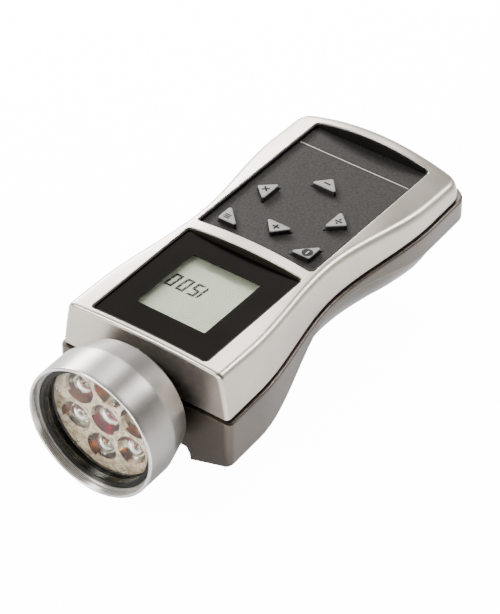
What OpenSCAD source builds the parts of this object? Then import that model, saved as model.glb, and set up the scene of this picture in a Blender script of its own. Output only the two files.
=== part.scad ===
/* [Lamp] */
// Outer radius of the turned lamp housing
lamp_r = 28.3; // [26.5:0.1:31]
// How much the lamp housing narrows towards its rear edge
lamp_taper = 2.9; // [1.5:0.1:3.5]
// Length of the lamp housing along its axis
lamp_len = 25.5; // [24:0.1:30]
// Length of the straight front part of the lamp housing
lamp_straight = 14.5; // [11:0.1:16]
// Wall between the lamp bore and the outside
lamp_wall = 2.3; // [1.8:0.1:2.6]
// Thickness of the lamp housing's rear wall
lamp_back = 3; // [2:0.1:4]
// Depth of the flared lip inside the lamp rim
lip_depth = 3.5; // [2:0.1:4]
// Length of the black ribbed retaining ring
ring_len = 5; // [4:0.1:6]
// Radial thickness of the retaining ring
ring_wall = 2.2; // [1.8:0.1:2.6]
// Thickness of the clear cover disc
cover_t = 1.6; // [1.2:0.1:1.8]
// Thickness of the flat seal behind the cover disc
seal_t = 0.8; // [0.6:0.1:1]
// Thickness of the plate that carries the seven collimators
array_t = 1.5; // [1:0.1:2]
// Radius of one collimator at its wide end
collimator_r = 7.1; // [6.5:0.1:7.4]
// Radius of one collimator at the light source
collimator_root_r = 3.2; // [2.8:0.1:3.6]
// Radius of the circle that the six outer collimators sit on
lens_circle_r = 15; // [14.8:0.1:15.6]
// Angle of the first outer collimator
lens_turn = 38; // [0:1:60]
// Thickness of the light source board
led_board_t = 1.6; // [1:0.1:2]
// Radius of one light source
led_r = 2.4; // [1.8:0.1:2.8]
// Height of one light source
led_h = 1.4; // [1:0.1:1.8]
// Space between the rear of the lamp housing and the body
lamp_gap = 6.5; // [6:0.1:9]
// Outer radius of the neck between lamp and body
neck_r = 14.5; // [14:0.1:14.8]
// Wall of the neck
neck_wall = 2.2; // [1.8:0.1:3]
// Radius of the neck flange behind the lamp housing
neck_flange_r = 22; // [21.4:0.1:23]
// Thickness of each neck flange
neck_flange_t = 2.5; // [2:0.1:3]
// Length of the finned part of the heat sink
sink_len = 9; // [5:0.5:12]
// Thickness of one heat sink fin
fin_t = 1.6; // [1.2:0.1:2]

/* [Body] */
// Silver margin ahead of the display opening
front_margin = 2.8; // [2.5:0.1:5]
// Length of the display opening
display_len = 60.7; // [58:0.1:64]
// Half width of the display opening
display_half = 26.7; // [25:0.1:27]
// Silver bridge between the display and the keypad
bridge_len = 5.1; // [4:0.1:7]
// Length of the keypad opening
keypad_len = 80.2; // [78:0.1:84]
// Half width of the keypad opening
keypad_half = 27; // [25.5:0.1:27.2]
// Silver margin behind the keypad opening
tail_margin = 7; // [6.6:0.1:8]
// Corner radius of both openings
opening_r = 2; // [1:0.1:3]
// Distance from the front of the upper shell to the waist
waist_from_front = 75.5; // [70:0.5:80]
// Length over which the waist widens towards the front
front_run = 56; // [50:0.5:60]
// Length over which the waist widens towards the tail
tail_run = 58; // [52:0.5:62]
// Half width of the upper shell at the seam, front
seam_front = 38.4; // [37.5:0.1:40]
// Half width of the upper shell at the seam, waist
seam_waist = 31.4; // [31.2:0.1:33]
// Half width of the upper shell at the seam, tail
seam_tail = 38.5; // [37.5:0.1:40]
// Half width of the upper shell at its top edge, front
crest_front = 35.8; // [35.4:0.1:37]
// Half width of the upper shell at its top edge, waist
crest_waist = 30.8; // [30.6:0.1:31.2]
// Half width of the upper shell at its top edge, tail
crest_tail = 38.2; // [37:0.1:38.4]
// Radius of the upper shell's top edge along its sides
crest_r = 3; // [2.4:0.1:3.4]
// Radius of the upper shell's top edge at the front
front_edge_r = 1.6; // [1:0.1:2.2]
// Radius of the upper shell's top edge at the tail
tail_edge_r = 4.5; // [3.5:0.1:4.6]
// Radius of the upright corners at the front
front_corner_r = 2; // [1.6:0.1:3]
// Radius of the upright corners at the tail
tail_corner_r = 7; // [5:0.1:8]
// Height of the deck above the lamp axis, at mid length
deck_above_axis = 21.2; // [20:0.1:23]
// Slope of the deck down to the tail, in degrees
deck_tilt = 1.67; // [0.5:0.01:2.2]
// Height of the seam above the lamp axis, at mid length
seam_above_axis = 5; // [4:0.1:6]
// Slope of the seam up to the tail, in degrees
seam_tilt = 2.48; // [1.5:0.01:2.8]
// Arch of the deck across the body at the front
crown_front = 0.8; // [0.3:0.1:1.2]
// Arch of the deck across the body at the tail
crown_tail = 3.6; // [3:0.1:4]
// Wall of the upper shell
upper_wall = 2.2; // [1.8:0.1:2.4]
// Wall of the lower shell
lower_wall = 2.4; // [2:0.1:2.6]
// Thickness of the seal between the shells
gasket_t = 1.2; // [0.8:0.1:1.6]
// Radial width of the seal between the shells
gasket_w = 1.2; // [0.8:0.1:1.3]
// How far the lower shell stands out past the upper one
lower_lip = 1.4; // [1:0.1:1.8]
// How far the lower shell stands out at the tail
tail_lip = 2.2; // [1.6:0.1:2.2]
// How far the lower shell stands out at the front
front_lip = 1; // [0.5:0.1:1.5]
// Height of the lower shell's side at the front
skirt_front = 21.9; // [20:0.1:22.5]
// Height of the lower shell's side at the waist
skirt_waist = 4; // [3.6:0.1:5]
// Height of the lower shell's side at the tail
skirt_tail = 10.3; // [9.8:0.1:11]
// How far the front lobes hang below the side's lower edge
lobe_drop = 4.4; // [3.5:0.1:4.6]
// Inner edge of the front lobes, measured from the middle
lobe_inner = 22.5; // [22:0.1:24]
// Height of the underside between the front lobes
belly_front_z = 9; // [8.9:0.1:9.4]
// Half width of the flat keel under the belly
keel_half = 8; // [6:0.1:9]

/* [Display and keys] */
// Thickness of the black lining inside both openings
lining_t = 0.4; // [0.3:0.1:0.8]
// Depth of the lining's top edge below the deck
lining_drop = 0.3; // [0.2:0.1:0.5]
// Depth of the display window below the deck
window_drop = 0.9; // [0.6:0.1:1.2]
// Thickness of the display window
window_t = 1.5; // [1.2:0.1:1.8]
// Length of the view printed free on the display window
view_len = 34.8; // [32:0.1:36]
// Half width of the view printed free on the display window
view_half = 15.6; // [14:0.1:17]
// Distance from the front of the display opening to the view
view_from_front = 13.9; // [12:0.1:16]
// Thickness of the liquid crystal glass
lcd_t = 1.8; // [1.4:0.1:2]
// Rim of the liquid crystal glass hidden behind the bezel
lcd_rim = 3.5; // [3:0.1:4]
// Distance the bezel keeps back from the edge that is printed round the view
view_slack = 2.2; // [1.5:0.1:2.4]
// Depth of the key panel below the deck
panel_drop = 1.8; // [1.5:0.1:2.2]
// Thickness of the key panel
panel_t = 1.2; // [1:0.1:1.5]
// Distance from the keypad's front edge to the middle of the arrow keys
key_mid = 31.7; // [30:0.1:34]
// Distance from that middle to the base of an arrow key
key_base_at = 14.4; // [13:0.1:15]
// Length of the base of an arrow key
key_base = 12; // [10:0.1:13]
// Height of an arrow key's triangle
key_height = 6.8; // [6:0.1:7.4]
// Place of a corner key's square corner across the body
corner_x = 21.4; // [20:0.1:22]
// Place of a corner key's square corner behind the keypad's front edge
corner_y = 6.1; // [5:0.1:8]
// Length of a corner key's short sides
corner_leg = 9; // [8:0.1:9.6]
// How far the keys stand above the key panel
key_proud = 2.1; // [1.8:0.1:2.4]
// Thickness of the flange that holds a key under the panel
key_flange_t = 1; // [0.8:0.1:1.3]
// How far the flange reaches past the key
key_flange = 1; // [0.6:0.1:1.2]
// Travel of a key
key_travel = 0.8; // [0.5:0.1:1]
// Thickness of the switch mat's sheet
mat_t = 0.8; // [0.6:0.1:1]
// Depth of the circuit board's top below the deck
board_drop = 7; // [6.8:0.1:7.5]
// Thickness of the circuit boards
board_t = 1.6; // [1.2:0.1:2]

/* [Battery and mounts] */
// Radius of one cell
cell_r = 7.2; // [7:0.1:7.25]
// Length of one cell, terminal included
cell_len = 50.5; // [50:0.1:51]
// Length of one cell's terminal
terminal_len = 1.2; // [1:0.1:1.5]
// Thickness of the cell carrier's end discs
carrier_t = 2.5; // [2:0.1:3]
// Space for a contact at each end of a cell
contact_gap = 2; // [1.5:0.1:2.5]
// Distance from the front of the upper shell to the cell carrier
carrier_from_front = 48; // [46.5:0.1:49]
// Half width of the battery cover
cover_half = 16; // [14.8:0.1:16.4]
// Height of the battery cover's edge
cover_edge_z = 8.2; // [8:0.1:8.3]
// Travel of the battery cover towards the lamp
cover_travel = 16; // [10:0.5:16.5]
// Outer radius of the tripod insert
insert_r = 4.5; // [4.2:0.1:4.9]
// Radius of the tripod thread
thread_r = 3.175; // [3:0.005:3.3]
// Length of the tripod thread
thread_len = 8; // [6:0.1:9]
// Outer radius of the trigger socket
socket_r = 2.8; // [2.4:0.1:2.9]
// Bore radius of the trigger socket
socket_bore_r = 1.25; // [1.2:0.01:1.4]
// Depth of the trigger socket's bore
socket_len = 12; // [10:0.1:14]
// Place of the trigger socket across the tail
socket_x = 12; // [8:0.1:18]
// Shank radius of the screws
screw_r = 1.2; // [1:0.1:1.4]
// Head radius of the screws
head_r = 2.2; // [2:0.1:2.4]
// Head height of the screws
head_h = 1.5; // [1.2:0.1:1.8]
// Clearance round pieces that sit in an opening
fit = 0.2; // [0.1:0.05:0.3]

/* [Hidden] */
$fn = 64;

// Overall places, with the lamp pointing to -Y and the keel on z = 0
upper_len = front_margin + display_len + bridge_len + keypad_len + tail_margin;
total_len = lamp_len + lamp_gap + front_lip + upper_len + tail_lip;
lamp_face_y = -total_len / 2;
lamp_rear_y = lamp_face_y + lamp_len;
lower_front_y = lamp_rear_y + lamp_gap;
upper_front_y = lower_front_y + front_lip;
upper_tail_y = upper_front_y + upper_len;
lower_tail_y = upper_tail_y + tail_lip;
waist_y = upper_front_y + waist_from_front;
lamp_z = lamp_r;
deck_z = lamp_z + deck_above_axis;
seam_mid_z = lamp_z + seam_above_axis;
display_y = upper_front_y + front_margin;
keypad_y = display_y + display_len + bridge_len;
touch = 0.01;
cut = 1;
running_gap = 0.3;

// Shape functions shared by both shells
function smooth(t) = t <= 0 ? 0 : t >= 1 ? 1 : t * t * (3 - 2 * t);
function mix(a, b, t) = a + (b - a) * t;
function waisted(y, front, waist, tail) =
  y < waist_y ? mix(waist, front, smooth((waist_y - y) / front_run))
  : mix(waist, tail, smooth((y - waist_y) / tail_run));
function round_in(d, r) = d >= r ? 0 : r - sqrt(max(0, r * r - (r - d) * (r - d)));
function seam_z(y) = seam_mid_z + y * tan(seam_tilt);
function crown(y) = mix(crown_front, crown_tail, (y - upper_front_y) / upper_len);
crown_half = 27;
function deck_at(x, y) = deck_z - y * tan(deck_tilt) + crown(y) * (1 - pow(x / crown_half, 2));
function flat(grid) = [for (row = grid) each row];
function both_sides(half) =
  concat(half, [for (i = [len(half) - 2:-1:0]) [-half[i][0], half[i][1], half[i][2]]]);

// Stations along the body, closer together in the rounded ends
function stations(y0, y1, r0, r1, steps) = concat(
  [for (a = [0, 25, 50, 75]) y0 + r0 * (1 - cos(a))],
  [for (i = [0:steps]) mix(y0 + r0, y1 - r1, i / steps)],
  [for (a = [75, 50, 25, 0]) y1 - r1 * (1 - cos(a))]
);
end_floor = 0.02;
body_steps = 24;

// One open half section of the upper shell, from its seam edge to the middle of the deck
flank_swell = 0.15;
fillet_angles = [0, 22, 45, 68, 90];
deck_shares = [0.75, 0.5, 0.25, 0];
function upper_half(y, y0, y1, inset) =
  let (
    front_r = front_corner_r - inset * 0.5,
    tail_r = tail_corner_r - inset * 0.5,
    pinch = round_in(y - y0 + end_floor, front_r) + round_in(y1 - y + end_floor, tail_r),
    drop = round_in(y - y0 + end_floor, front_edge_r - inset * 0.4)
      + round_in(y1 - y + end_floor, tail_edge_r - inset * 0.8),
    low = waisted(y, seam_front, seam_waist, seam_tail) - inset - pinch,
    high = waisted(y, crest_front, crest_waist, crest_tail) - inset - pinch,
    r = crest_r - inset * 0.4,
    base = seam_z(y)
  )
  concat(
    [[low, y, base],
     [mix(low, high, 0.5) + flank_swell, y, mix(base, deck_at(high, y) - r - drop, 0.5)]],
    [for (a = fillet_angles)
      let (x = high - r + r * cos(a))
      [x, y, deck_at(x, y) - inset - drop - r * (1 - sin(a))]],
    [for (s = deck_shares) [(high - r) * s, y, deck_at((high - r) * s, y) - inset - drop]]
  );
function upper_grid(inset) =
  let (y0 = upper_front_y + inset, y1 = upper_tail_y - inset)
  [for (y = stations(y0, y1, front_corner_r, tail_corner_r, body_steps))
    both_sides(upper_half(y, y0, y1, inset))];

// Lower shell: side height, keel height and the blend from front lobes to belly
skirt_front_run = 54;
skirt_tail_run = 43;
skirt_level = 9;
skirt_shift = 3;
function skirt(y) =
  y < waist_y ? mix(skirt_waist, skirt_front, smooth((waist_y - skirt_shift - y) / skirt_front_run))
  : mix(skirt_waist, skirt_tail, smooth((y - waist_y - skirt_level) / skirt_tail_run));
belly_nose_len = 10;
nose_lead = 11;
bay_y = upper_front_y + carrier_from_front;
belly_nose_y = bay_y - nose_lead;
bay_len = 2 * carrier_t + 2 * contact_gap + cell_len;
foot_y = bay_y + bay_len + running_gap;
cover_lift = 0.8;
tail_flat = 14.2;
foot_step = 3;
tail_rise_len = 18;
foot_end_y = lower_tail_y - tail_flat - tail_rise_len;
foot_len = foot_end_y - foot_y;
function tail_floor(y) = seam_z(y) - gasket_t - skirt_tail;
function keel_z(y) =
  y < foot_y ? mix(belly_front_z, cover_lift, smooth((y - belly_nose_y) / belly_nose_len))
  : y < foot_end_y ? mix(cover_lift, 0, smooth((y - foot_y) / foot_step))
  : mix(0, tail_floor(y), smooth((y - foot_end_y) / tail_rise_len));
lobe_len = 18;
lobe_blend_y = upper_front_y + lobe_len;
lobe_blend_len = 40;
function lobe_blend(y) = smooth((y - lobe_blend_y) / lobe_blend_len);
hull_angles = [0, 12, 25, 40, 55, 72, 90];
hull_side_power = 1.5;
hull_drop_power = 1.15;
edge_r = 1.2;
hull_step = 0.4;
rim_draft = 0.2;
lobe_wall_run = 3;
tail_keel_half = 30;
function lower_half(y, y0, y1, inset) =
  let (
    front_r = front_corner_r - inset * 0.5,
    tail_r = tail_corner_r - inset * 0.5,
    pinch = round_in(y - y0 + end_floor, front_r) + round_in(y1 - y + end_floor, tail_r),
    wide = waisted(y, seam_front, seam_waist, seam_tail) + lower_lip - inset - pinch,
    rim = seam_z(y) - gasket_t,
    low = rim - skirt(y) + inset,
    g = lobe_blend(y),
    start_x = mix(lobe_inner + inset - pinch * 0.3, wide - edge_r - hull_step, g),
    start_z = low - lobe_drop * (1 - g),
    nose_half = lobe_inner - lobe_wall_run + inset * 0.6,
    belly_half = mix(nose_half, keel_half, smooth((y - belly_nose_y) / belly_nose_len)),
    keel_x = mix(belly_half, tail_keel_half, smooth((y - foot_end_y) / tail_rise_len)),
    keel = keel_z(y) + inset,
    edge = min(edge_r, (skirt(y) - inset) * 0.3),
    rim_turn = inset > 0 ? -rim_draft : edge
  )
  concat(
    [[wide - rim_turn * 0.8, y, rim],
     [wide - rim_turn * 0.25, y, rim - edge * 0.3],
     [wide, y, rim - edge],
     [wide, y, low + edge],
     [wide - edge * 0.3, y, low + edge * 0.3],
     [wide - edge, y, low]],
    [for (a = hull_angles)
      [keel_x + (start_x - keel_x) * pow(cos(a), hull_side_power), y,
       start_z + (keel - start_z) * pow(sin(a), hull_drop_power)]],
    [[0, y, keel]]
  );
function lower_grid(inset) =
  let (y0 = lower_front_y + inset, y1 = lower_tail_y - inset)
  [for (y = stations(y0, y1, front_corner_r, tail_corner_r, body_steps + 8))
    both_sides(lower_half(y, y0, y1, inset))];

// Closed tub from an outer and an inner skin that meet at the rim
module tub(outer, inner, up) {
  n = len(outer);
  m = len(outer[0]);
  s = n * m;
  function turn(f) = up ? [for (i = [len(f) - 1:-1:0]) f[i]] : f;
  skin = [for (i = [0:n - 2], j = [0:m - 2]) each [
    [i * m + j, (i + 1) * m + j, (i + 1) * m + j + 1],
    [i * m + j, (i + 1) * m + j + 1, i * m + j + 1]]];
  e = m - 1;
  c = floor(m / 2);
  z = (n - 1) * m;
  front = concat([for (j = [1:c - 1]) [0, j, j + 1]], [[0, c, e]], [for (j = [c:m - 3]) [e, j, j + 1]]);
  tail = [for (f = front) [z + f[0], z + f[2], z + f[1]]];
  shell = concat(skin, front, tail);
  lining = [for (f = shell) [f[2] + s, f[1] + s, f[0] + s]];
  right = [for (i = [0:n - 2]) each [
    [i * m, s + i * m, s + (i + 1) * m],
    [i * m, s + (i + 1) * m, (i + 1) * m]]];
  left = [for (i = [0:n - 2]) each [
    [i * m + e, s + (i + 1) * m + e, s + i * m + e],
    [i * m + e, (i + 1) * m + e, s + (i + 1) * m + e]]];
  ends = [[0, e, s + e], [0, s + e, s], [z, s + z + e, z + e], [z, s + z, s + z + e]];
  polyhedron(
    points = concat(flat(outer), flat(inner)),
    faces = [for (f = concat(shell, lining, right, left, ends)) turn(f)],
    convexity = 8);
}

// Frames of reference: the sloping deck, the lamp axis and the seam
module on_deck() {
  translate([0, 0, deck_z]) rotate([-deck_tilt, 0, 0]) children();
}
module on_lamp_axis(y) {
  translate([0, y, lamp_z]) rotate([-90, 0, 0]) children();
}
module slab(half, y0, y1, z0, z1, r = opening_r) {
  translate([0, 0, z0])
  linear_extrude(z1 - z0)
  polygon(concat(
    corner([half - r, y1 - r], r, 0), corner([r - half, y1 - r], r, 90),
    corner([r - half, y0 + r], r, 180), corner([half - r, y0 + r], r, 270)));
}
function corner(c, r, from) = [for (a = [0:22.5:90]) c + r * [cos(from + a), sin(from + a)]];
module tube(r, bore, h) {
  difference() {
    cylinder(r = r, h = h);
    translate([0, 0, -cut]) cylinder(r = bore, h = h + 2 * cut);
  }
}
module screw(shank) {
  cylinder(r = head_r, h = head_h);
  translate([0, 0, head_h - touch]) cylinder(r = screw_r, h = shank + touch);
}

// Fastening places
boss_r = 3.2;
thin_boss_r = 2.6;
shell_boss_front = 9.5;
shell_boss_tail = 12;
shell_boss_y = [upper_front_y + shell_boss_front, upper_tail_y - shell_boss_tail];
boss_clear = 1.7;
gasket_inset = 0.3;
function shell_boss_x(y) =
  waisted(y, seam_front, seam_waist, seam_tail) - gasket_inset - gasket_w - boss_clear - boss_r;
board_boss_x = 30.2;
board_boss_front = 30;
board_boss_tail = 27;
board_boss_y = [upper_front_y + board_boss_front, upper_tail_y - board_boss_tail];
pilot_len = 7;
board_top = -board_drop;
board_low = board_top - board_t;
module board_boss_places() {
  on_deck() for (x = [-1, 1], y = board_boss_y) translate([x * board_boss_x, y, 0]) children();
}
head_seat = 3;

module upper_shell() {
  color([0.78, 0.77, 0.75])
  difference() {
    union() {
      tub(upper_grid(0), upper_grid(upper_wall), true);
      for (x = [-1, 1], y = shell_boss_y) {
        translate([x * shell_boss_x(y), y, seam_z(y)])
          cylinder(r = boss_r, h = deck_at(shell_boss_x(y), y) - seam_z(y) - upper_wall * 0.8);
      }
      board_boss_places() translate([0, 0, board_top + touch])
        cylinder(r = thin_boss_r, h = board_drop - upper_wall * 0.8 - crest_drop);
    }
    on_deck() {
      slab(display_half, display_y, display_y + display_len, -board_drop + panel_t, crown_tail + cut);
      slab(keypad_half, keypad_y, keypad_y + keypad_len, -board_drop + panel_t, crown_tail + 2 * cut);
    }
    on_lamp_axis(upper_front_y - cut) cylinder(r = neck_r + fit, h = upper_wall + 3 * cut);
    for (x = [-1, 1], y = shell_boss_y) {
      translate([x * shell_boss_x(y), y, seam_z(y) - cut]) cylinder(r = screw_r, h = pilot_len + cut);
    }
    board_boss_places() translate([0, 0, board_top - cut])
      cylinder(r = screw_r, h = pilot_len * 0.5 + cut);
  }
}
crest_drop = 0.4;

post_x = 14;
post_front = 17;
post_pitch = 18;
post_y = [upper_front_y + post_front, upper_front_y + post_front + post_pitch];
driver_drop = 3;
driver_z = lamp_z - driver_drop;
rib_t = 4;
rib_h = 4;
rib_drop = 5;
carrier_r = cell_r * (1 + 2 / sqrt(3)) + running_gap;
carrier_z = cover_lift + lower_wall + running_gap + carrier_r;
nose_gap = 0.5;
cover_y0 = belly_nose_y - nose_gap;
cover_y1 = foot_y - running_gap;
module cover_box(grow, top) {
  translate([-cover_half - grow, cover_y0 - grow, -cut])
    cube([2 * (cover_half + grow), cover_y1 - cover_y0 + 2 * grow, top + cut]);
}
insert_y = foot_y + foot_len * 0.55;
socket_cover = 1.2;
insert_wall = 2.2;
socket_z = seam_z(lower_tail_y) - gasket_t - socket_r - socket_cover;
module lower_shell() {
  color([0.46, 0.43, 0.40])
  difference() {
    union() {
      tub(lower_grid(0), lower_grid(lower_wall), false);
      for (x = [-1, 1], y = shell_boss_y) {
        low = seam_z(y) - gasket_t - skirt(y) + lower_wall * 0.5;
        translate([x * shell_boss_x(y), y, low]) cylinder(r = boss_r, h = seam_z(y) - touch - low);
      }
      for (x = [-1, 1], y = post_y) {
        translate([x * post_x, y, belly_front_z + lower_wall * 0.5])
          cylinder(r = thin_boss_r, h = driver_z - belly_front_z - lower_wall * 0.5);
      }
      for (y = [bay_y - rib_t + carrier_t, bay_y + bay_len - carrier_t]) {
        half = waisted(y, seam_front, seam_waist, seam_tail) + lower_lip - lower_wall * 0.6;
        translate([-half, y, seam_z(y) - gasket_t - rib_drop]) cube([2 * half, rib_t, rib_h]);
      }
      translate([0, insert_y, lower_wall * 0.5])
        cylinder(r = insert_r + insert_wall, h = thread_len + insert_wall);
    }
    cover_box(fit, cover_edge_z + fit);
    translate([0, bay_y - running_gap, carrier_z]) rotate([-90, 0, 0])
      cylinder(r = carrier_r + touch * 5, h = bay_len + 2 * running_gap);
    on_lamp_axis(lower_front_y - cut) cylinder(r = neck_r + fit, h = lower_wall + 3 * cut);
    translate([0, insert_y, -cut]) cylinder(r = insert_r, h = thread_len + cut + insert_wall * 0.5);
    translate([socket_x, lower_tail_y + cut, socket_z]) rotate([90, 0, 0])
      cylinder(r = socket_r, h = lower_wall + 3 * cut);
    for (x = [-1, 1], y = shell_boss_y) {
      low = seam_z(y) - gasket_t - skirt(y);
      translate([x * shell_boss_x(y), y, -cut]) cylinder(r = head_r + fit, h = low + head_seat + cut);
      translate([x * shell_boss_x(y), y, 0]) cylinder(r = screw_r + fit, h = seam_z(y) + cut);
    }
  }
}

// Ring between the two rims, laid in the seam's slope
function outline(inset) =
  let (y0 = upper_front_y + inset, y1 = upper_tail_y - inset,
       ys = stations(y0, y1, front_corner_r, tail_corner_r, body_steps),
       xs = [for (y = ys) waisted(y, seam_front, seam_waist, seam_tail) - inset
         - round_in(y - y0 + end_floor, front_corner_r) - round_in(y1 - y + end_floor, tail_corner_r)])
  concat([for (i = [0:len(ys) - 1]) [xs[i], ys[i] / cos(seam_tilt)]],
         [for (i = [len(ys) - 1:-1:0]) [-xs[i], ys[i] / cos(seam_tilt)]]);
module shell_gasket() {
  color([0.08, 0.08, 0.08])
  difference() {
    translate([0, 0, seam_mid_z - gasket_t + touch])
    rotate([seam_tilt, 0, 0])
    linear_extrude(gasket_t * cos(seam_tilt) - 2 * touch)
    difference() {
      polygon(outline(gasket_inset));
      polygon(outline(gasket_inset + gasket_w));
    }
    on_lamp_axis(lower_front_y) cylinder(r = neck_r + fit, h = 4 * lower_wall);
  }
}

module shell_screws() {
  color([0.55, 0.55, 0.56])
  for (x = [-1, 1], y = shell_boss_y) {
    seat = seam_z(y) - gasket_t - skirt(y) + head_seat;
    translate([x * shell_boss_x(y), y, seat - head_h]) screw(seam_z(y) + pilot_len - 1 - seat);
  }
}

// Lamp, from its rim inwards
lamp_bore_r = lamp_r - lamp_wall;
lamp_rear_r = lamp_r - lamp_taper;
rear_bore_r = lamp_rear_r - lamp_wall;
rim_wall = 1.4;
lip_r = lamp_r - rim_wall;
rim_round = 0.8;
wire_r = 4;
lamp_thread_len = 2;
module lamp_housing() {
  color([0.74, 0.74, 0.74])
  difference() {
    on_lamp_axis(lamp_face_y)
    rotate_extrude($fn = 96)
    polygon([
      [wire_r, lamp_len - lamp_back], [wire_r, lamp_len], [lamp_rear_r - rim_round, lamp_len],
      [lamp_rear_r, lamp_len - rim_round], [lamp_r, lamp_straight], [lamp_r, rim_round],
      [lamp_r - rim_round * 0.4, rim_round * 0.2], [lamp_r - rim_round, 0], [lip_r + 0.1, rim_round * 0.4],
      [lip_r, rim_round * 1.4], [lip_r - 0.2, lip_depth], [lamp_bore_r, lip_depth],
      [lamp_bore_r, lamp_straight], [rear_bore_r, led_board_y - lamp_face_y - led_h],
      [rear_bore_r, lamp_len - lamp_back]]);
    on_lamp_axis(lamp_rear_y - lamp_thread_len) lamp_screw_places()
      cylinder(r = screw_r, h = lamp_thread_len + cut);
  }
}
ring_y = lamp_face_y + lip_depth;
rebate_wall = 1;
rebate_r = lamp_bore_r - fit - rebate_wall;
rebate_len = cover_t + seal_t;
cover_disc_y = ring_y + ring_len - rebate_len;
seal_y = cover_disc_y + cover_t;
array_y = seal_y + seal_t;
led_board_y = lamp_rear_y - lamp_back - led_board_t;
groove_count = 3;
groove_depth = 0.7;
module retaining_ring() {
  color([0.06, 0.06, 0.06])
  on_lamp_axis(ring_y)
  difference() {
    tube(lamp_bore_r - fit, lamp_bore_r - ring_wall, ring_len);
    for (i = [0:groove_count - 1]) {
      pitch = (ring_len - rebate_len) / (groove_count + 0.5);
      translate([0, 0, (i + 0.5) * pitch])
        tube(lamp_bore_r - ring_wall + groove_depth, lamp_bore_r - ring_wall - cut, pitch * 0.5);
    }
    translate([0, 0, ring_len - rebate_len]) cylinder(r = rebate_r, h = rebate_len + cut);
  }
}
module cover_disc() {
  color([0.85, 0.88, 0.88, 0.35])
  on_lamp_axis(cover_disc_y) cylinder(r = rebate_r - fit, h = cover_t);
}
module cover_seal() {
  color([0.1, 0.1, 0.1])
  on_lamp_axis(seal_y) tube(rebate_r - fit, lamp_bore_r - ring_wall, seal_t);
}
module lens_places() {
  children();
  for (i = [0:5]) rotate(lens_turn + 60 * i) translate([lens_circle_r, 0, 0]) children();
}
collimator_len = led_board_y - led_h - running_gap - array_y - array_t;
module lens_array() {
  color([0.86, 0.84, 0.78])
  on_lamp_axis(array_y) {
    cylinder(r = lamp_bore_r - fit, h = array_t);
    lens_places() translate([0, 0, array_t - touch])
      cylinder(r1 = collimator_r, r2 = collimator_root_r, h = collimator_len + touch);
  }
}
module led_board() {
  color([0.85, 0.85, 0.83])
  on_lamp_axis(led_board_y) tube(rear_bore_r - fit, wire_r * 0.4, led_board_t);
}
module leds() {
  color([0.95, 0.85, 0.3])
  on_lamp_axis(led_board_y - led_h) lens_places() cylinder(r = led_r, h = led_h);
}

// Neck: a flange on the lamp, a tube through the shells' front wall and a flange inside
neck_inner_y = upper_front_y + upper_wall + running_gap;
lamp_screw_r = (neck_r + neck_flange_r) / 2;
module lamp_neck() {
  color([0.2, 0.2, 0.2])
  difference() {
    union() {
      on_lamp_axis(lamp_rear_y) cylinder(r = neck_flange_r, h = neck_flange_t);
      on_lamp_axis(lamp_rear_y) cylinder(r = neck_r, h = neck_inner_y - lamp_rear_y + neck_flange_t);
      on_lamp_axis(neck_inner_y) cylinder(r = neck_r + lower_wall * 0.8, h = neck_flange_t);
    }
    on_lamp_axis(lamp_rear_y - cut) cylinder(r = neck_r - neck_wall, h = 4 * lamp_len);
    on_deck() translate([-neck_flange_r, neck_inner_y - touch, board_low - running_gap])
      cube([2 * neck_flange_r, neck_flange_r, neck_flange_r]);
    on_lamp_axis(lamp_rear_y - cut) lamp_screw_places() cylinder(r = screw_r, h = lamp_gap);
  }
}
module lamp_screw_places() {
  for (i = [0:2]) rotate(120 * i + 30) translate([lamp_screw_r, 0, 0]) children();
}
module lamp_screws() {
  color([0.3, 0.3, 0.3])
  on_lamp_axis(lamp_rear_y + neck_flange_t + head_h) lamp_screw_places()
    rotate([180, 0, 0]) screw(neck_flange_t + lamp_thread_len - touch);
}
sink_plate = 6;
fin_pitch = 4.2;
module heat_sink() {
  color([0.6, 0.6, 0.62])
  on_lamp_axis(lamp_rear_y)
  difference() {
    cylinder(r = neck_r - neck_wall - touch, h = sink_plate + sink_len);
    translate([0, 0, -cut]) cylinder(r = wire_r, h = sink_plate + sink_len + 2 * cut);
    for (i = [-3:2]) {
      translate([(i + 0.5) * fin_pitch - (fin_pitch - fin_t) / 2, -neck_r, sink_plate])
        cube([fin_pitch - fin_t, 2 * neck_r, sink_len + cut]);
    }
  }
}

// Black lining of an opening: a low ring, with an arched plate at each end under the crowned deck
arch_steps = 8;
module lining(half, y0, y1, low) {
  difference() {
    slab(half, y0, y1, low, -lining_drop);
    slab(half - lining_t, y0 + lining_t, y1 - lining_t, low - cut, cut, opening_r - lining_t);
  }
  for (y = [y0 + lining_t, y1]) {
    reach = half - opening_r;
    top = [for (i = [0:arch_steps])
      let (x = mix(reach, -reach, i / arch_steps))
      [x, crown(y) * (1 - pow(x / crown_half, 2)) - lining_drop]];
    translate([0, y, 0]) rotate([90, 0, 0]) linear_extrude(lining_t)
      polygon(concat([[-reach, low], [reach, low]], top));
  }
}
inner_gap = 2 * fit + lining_t;

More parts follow.
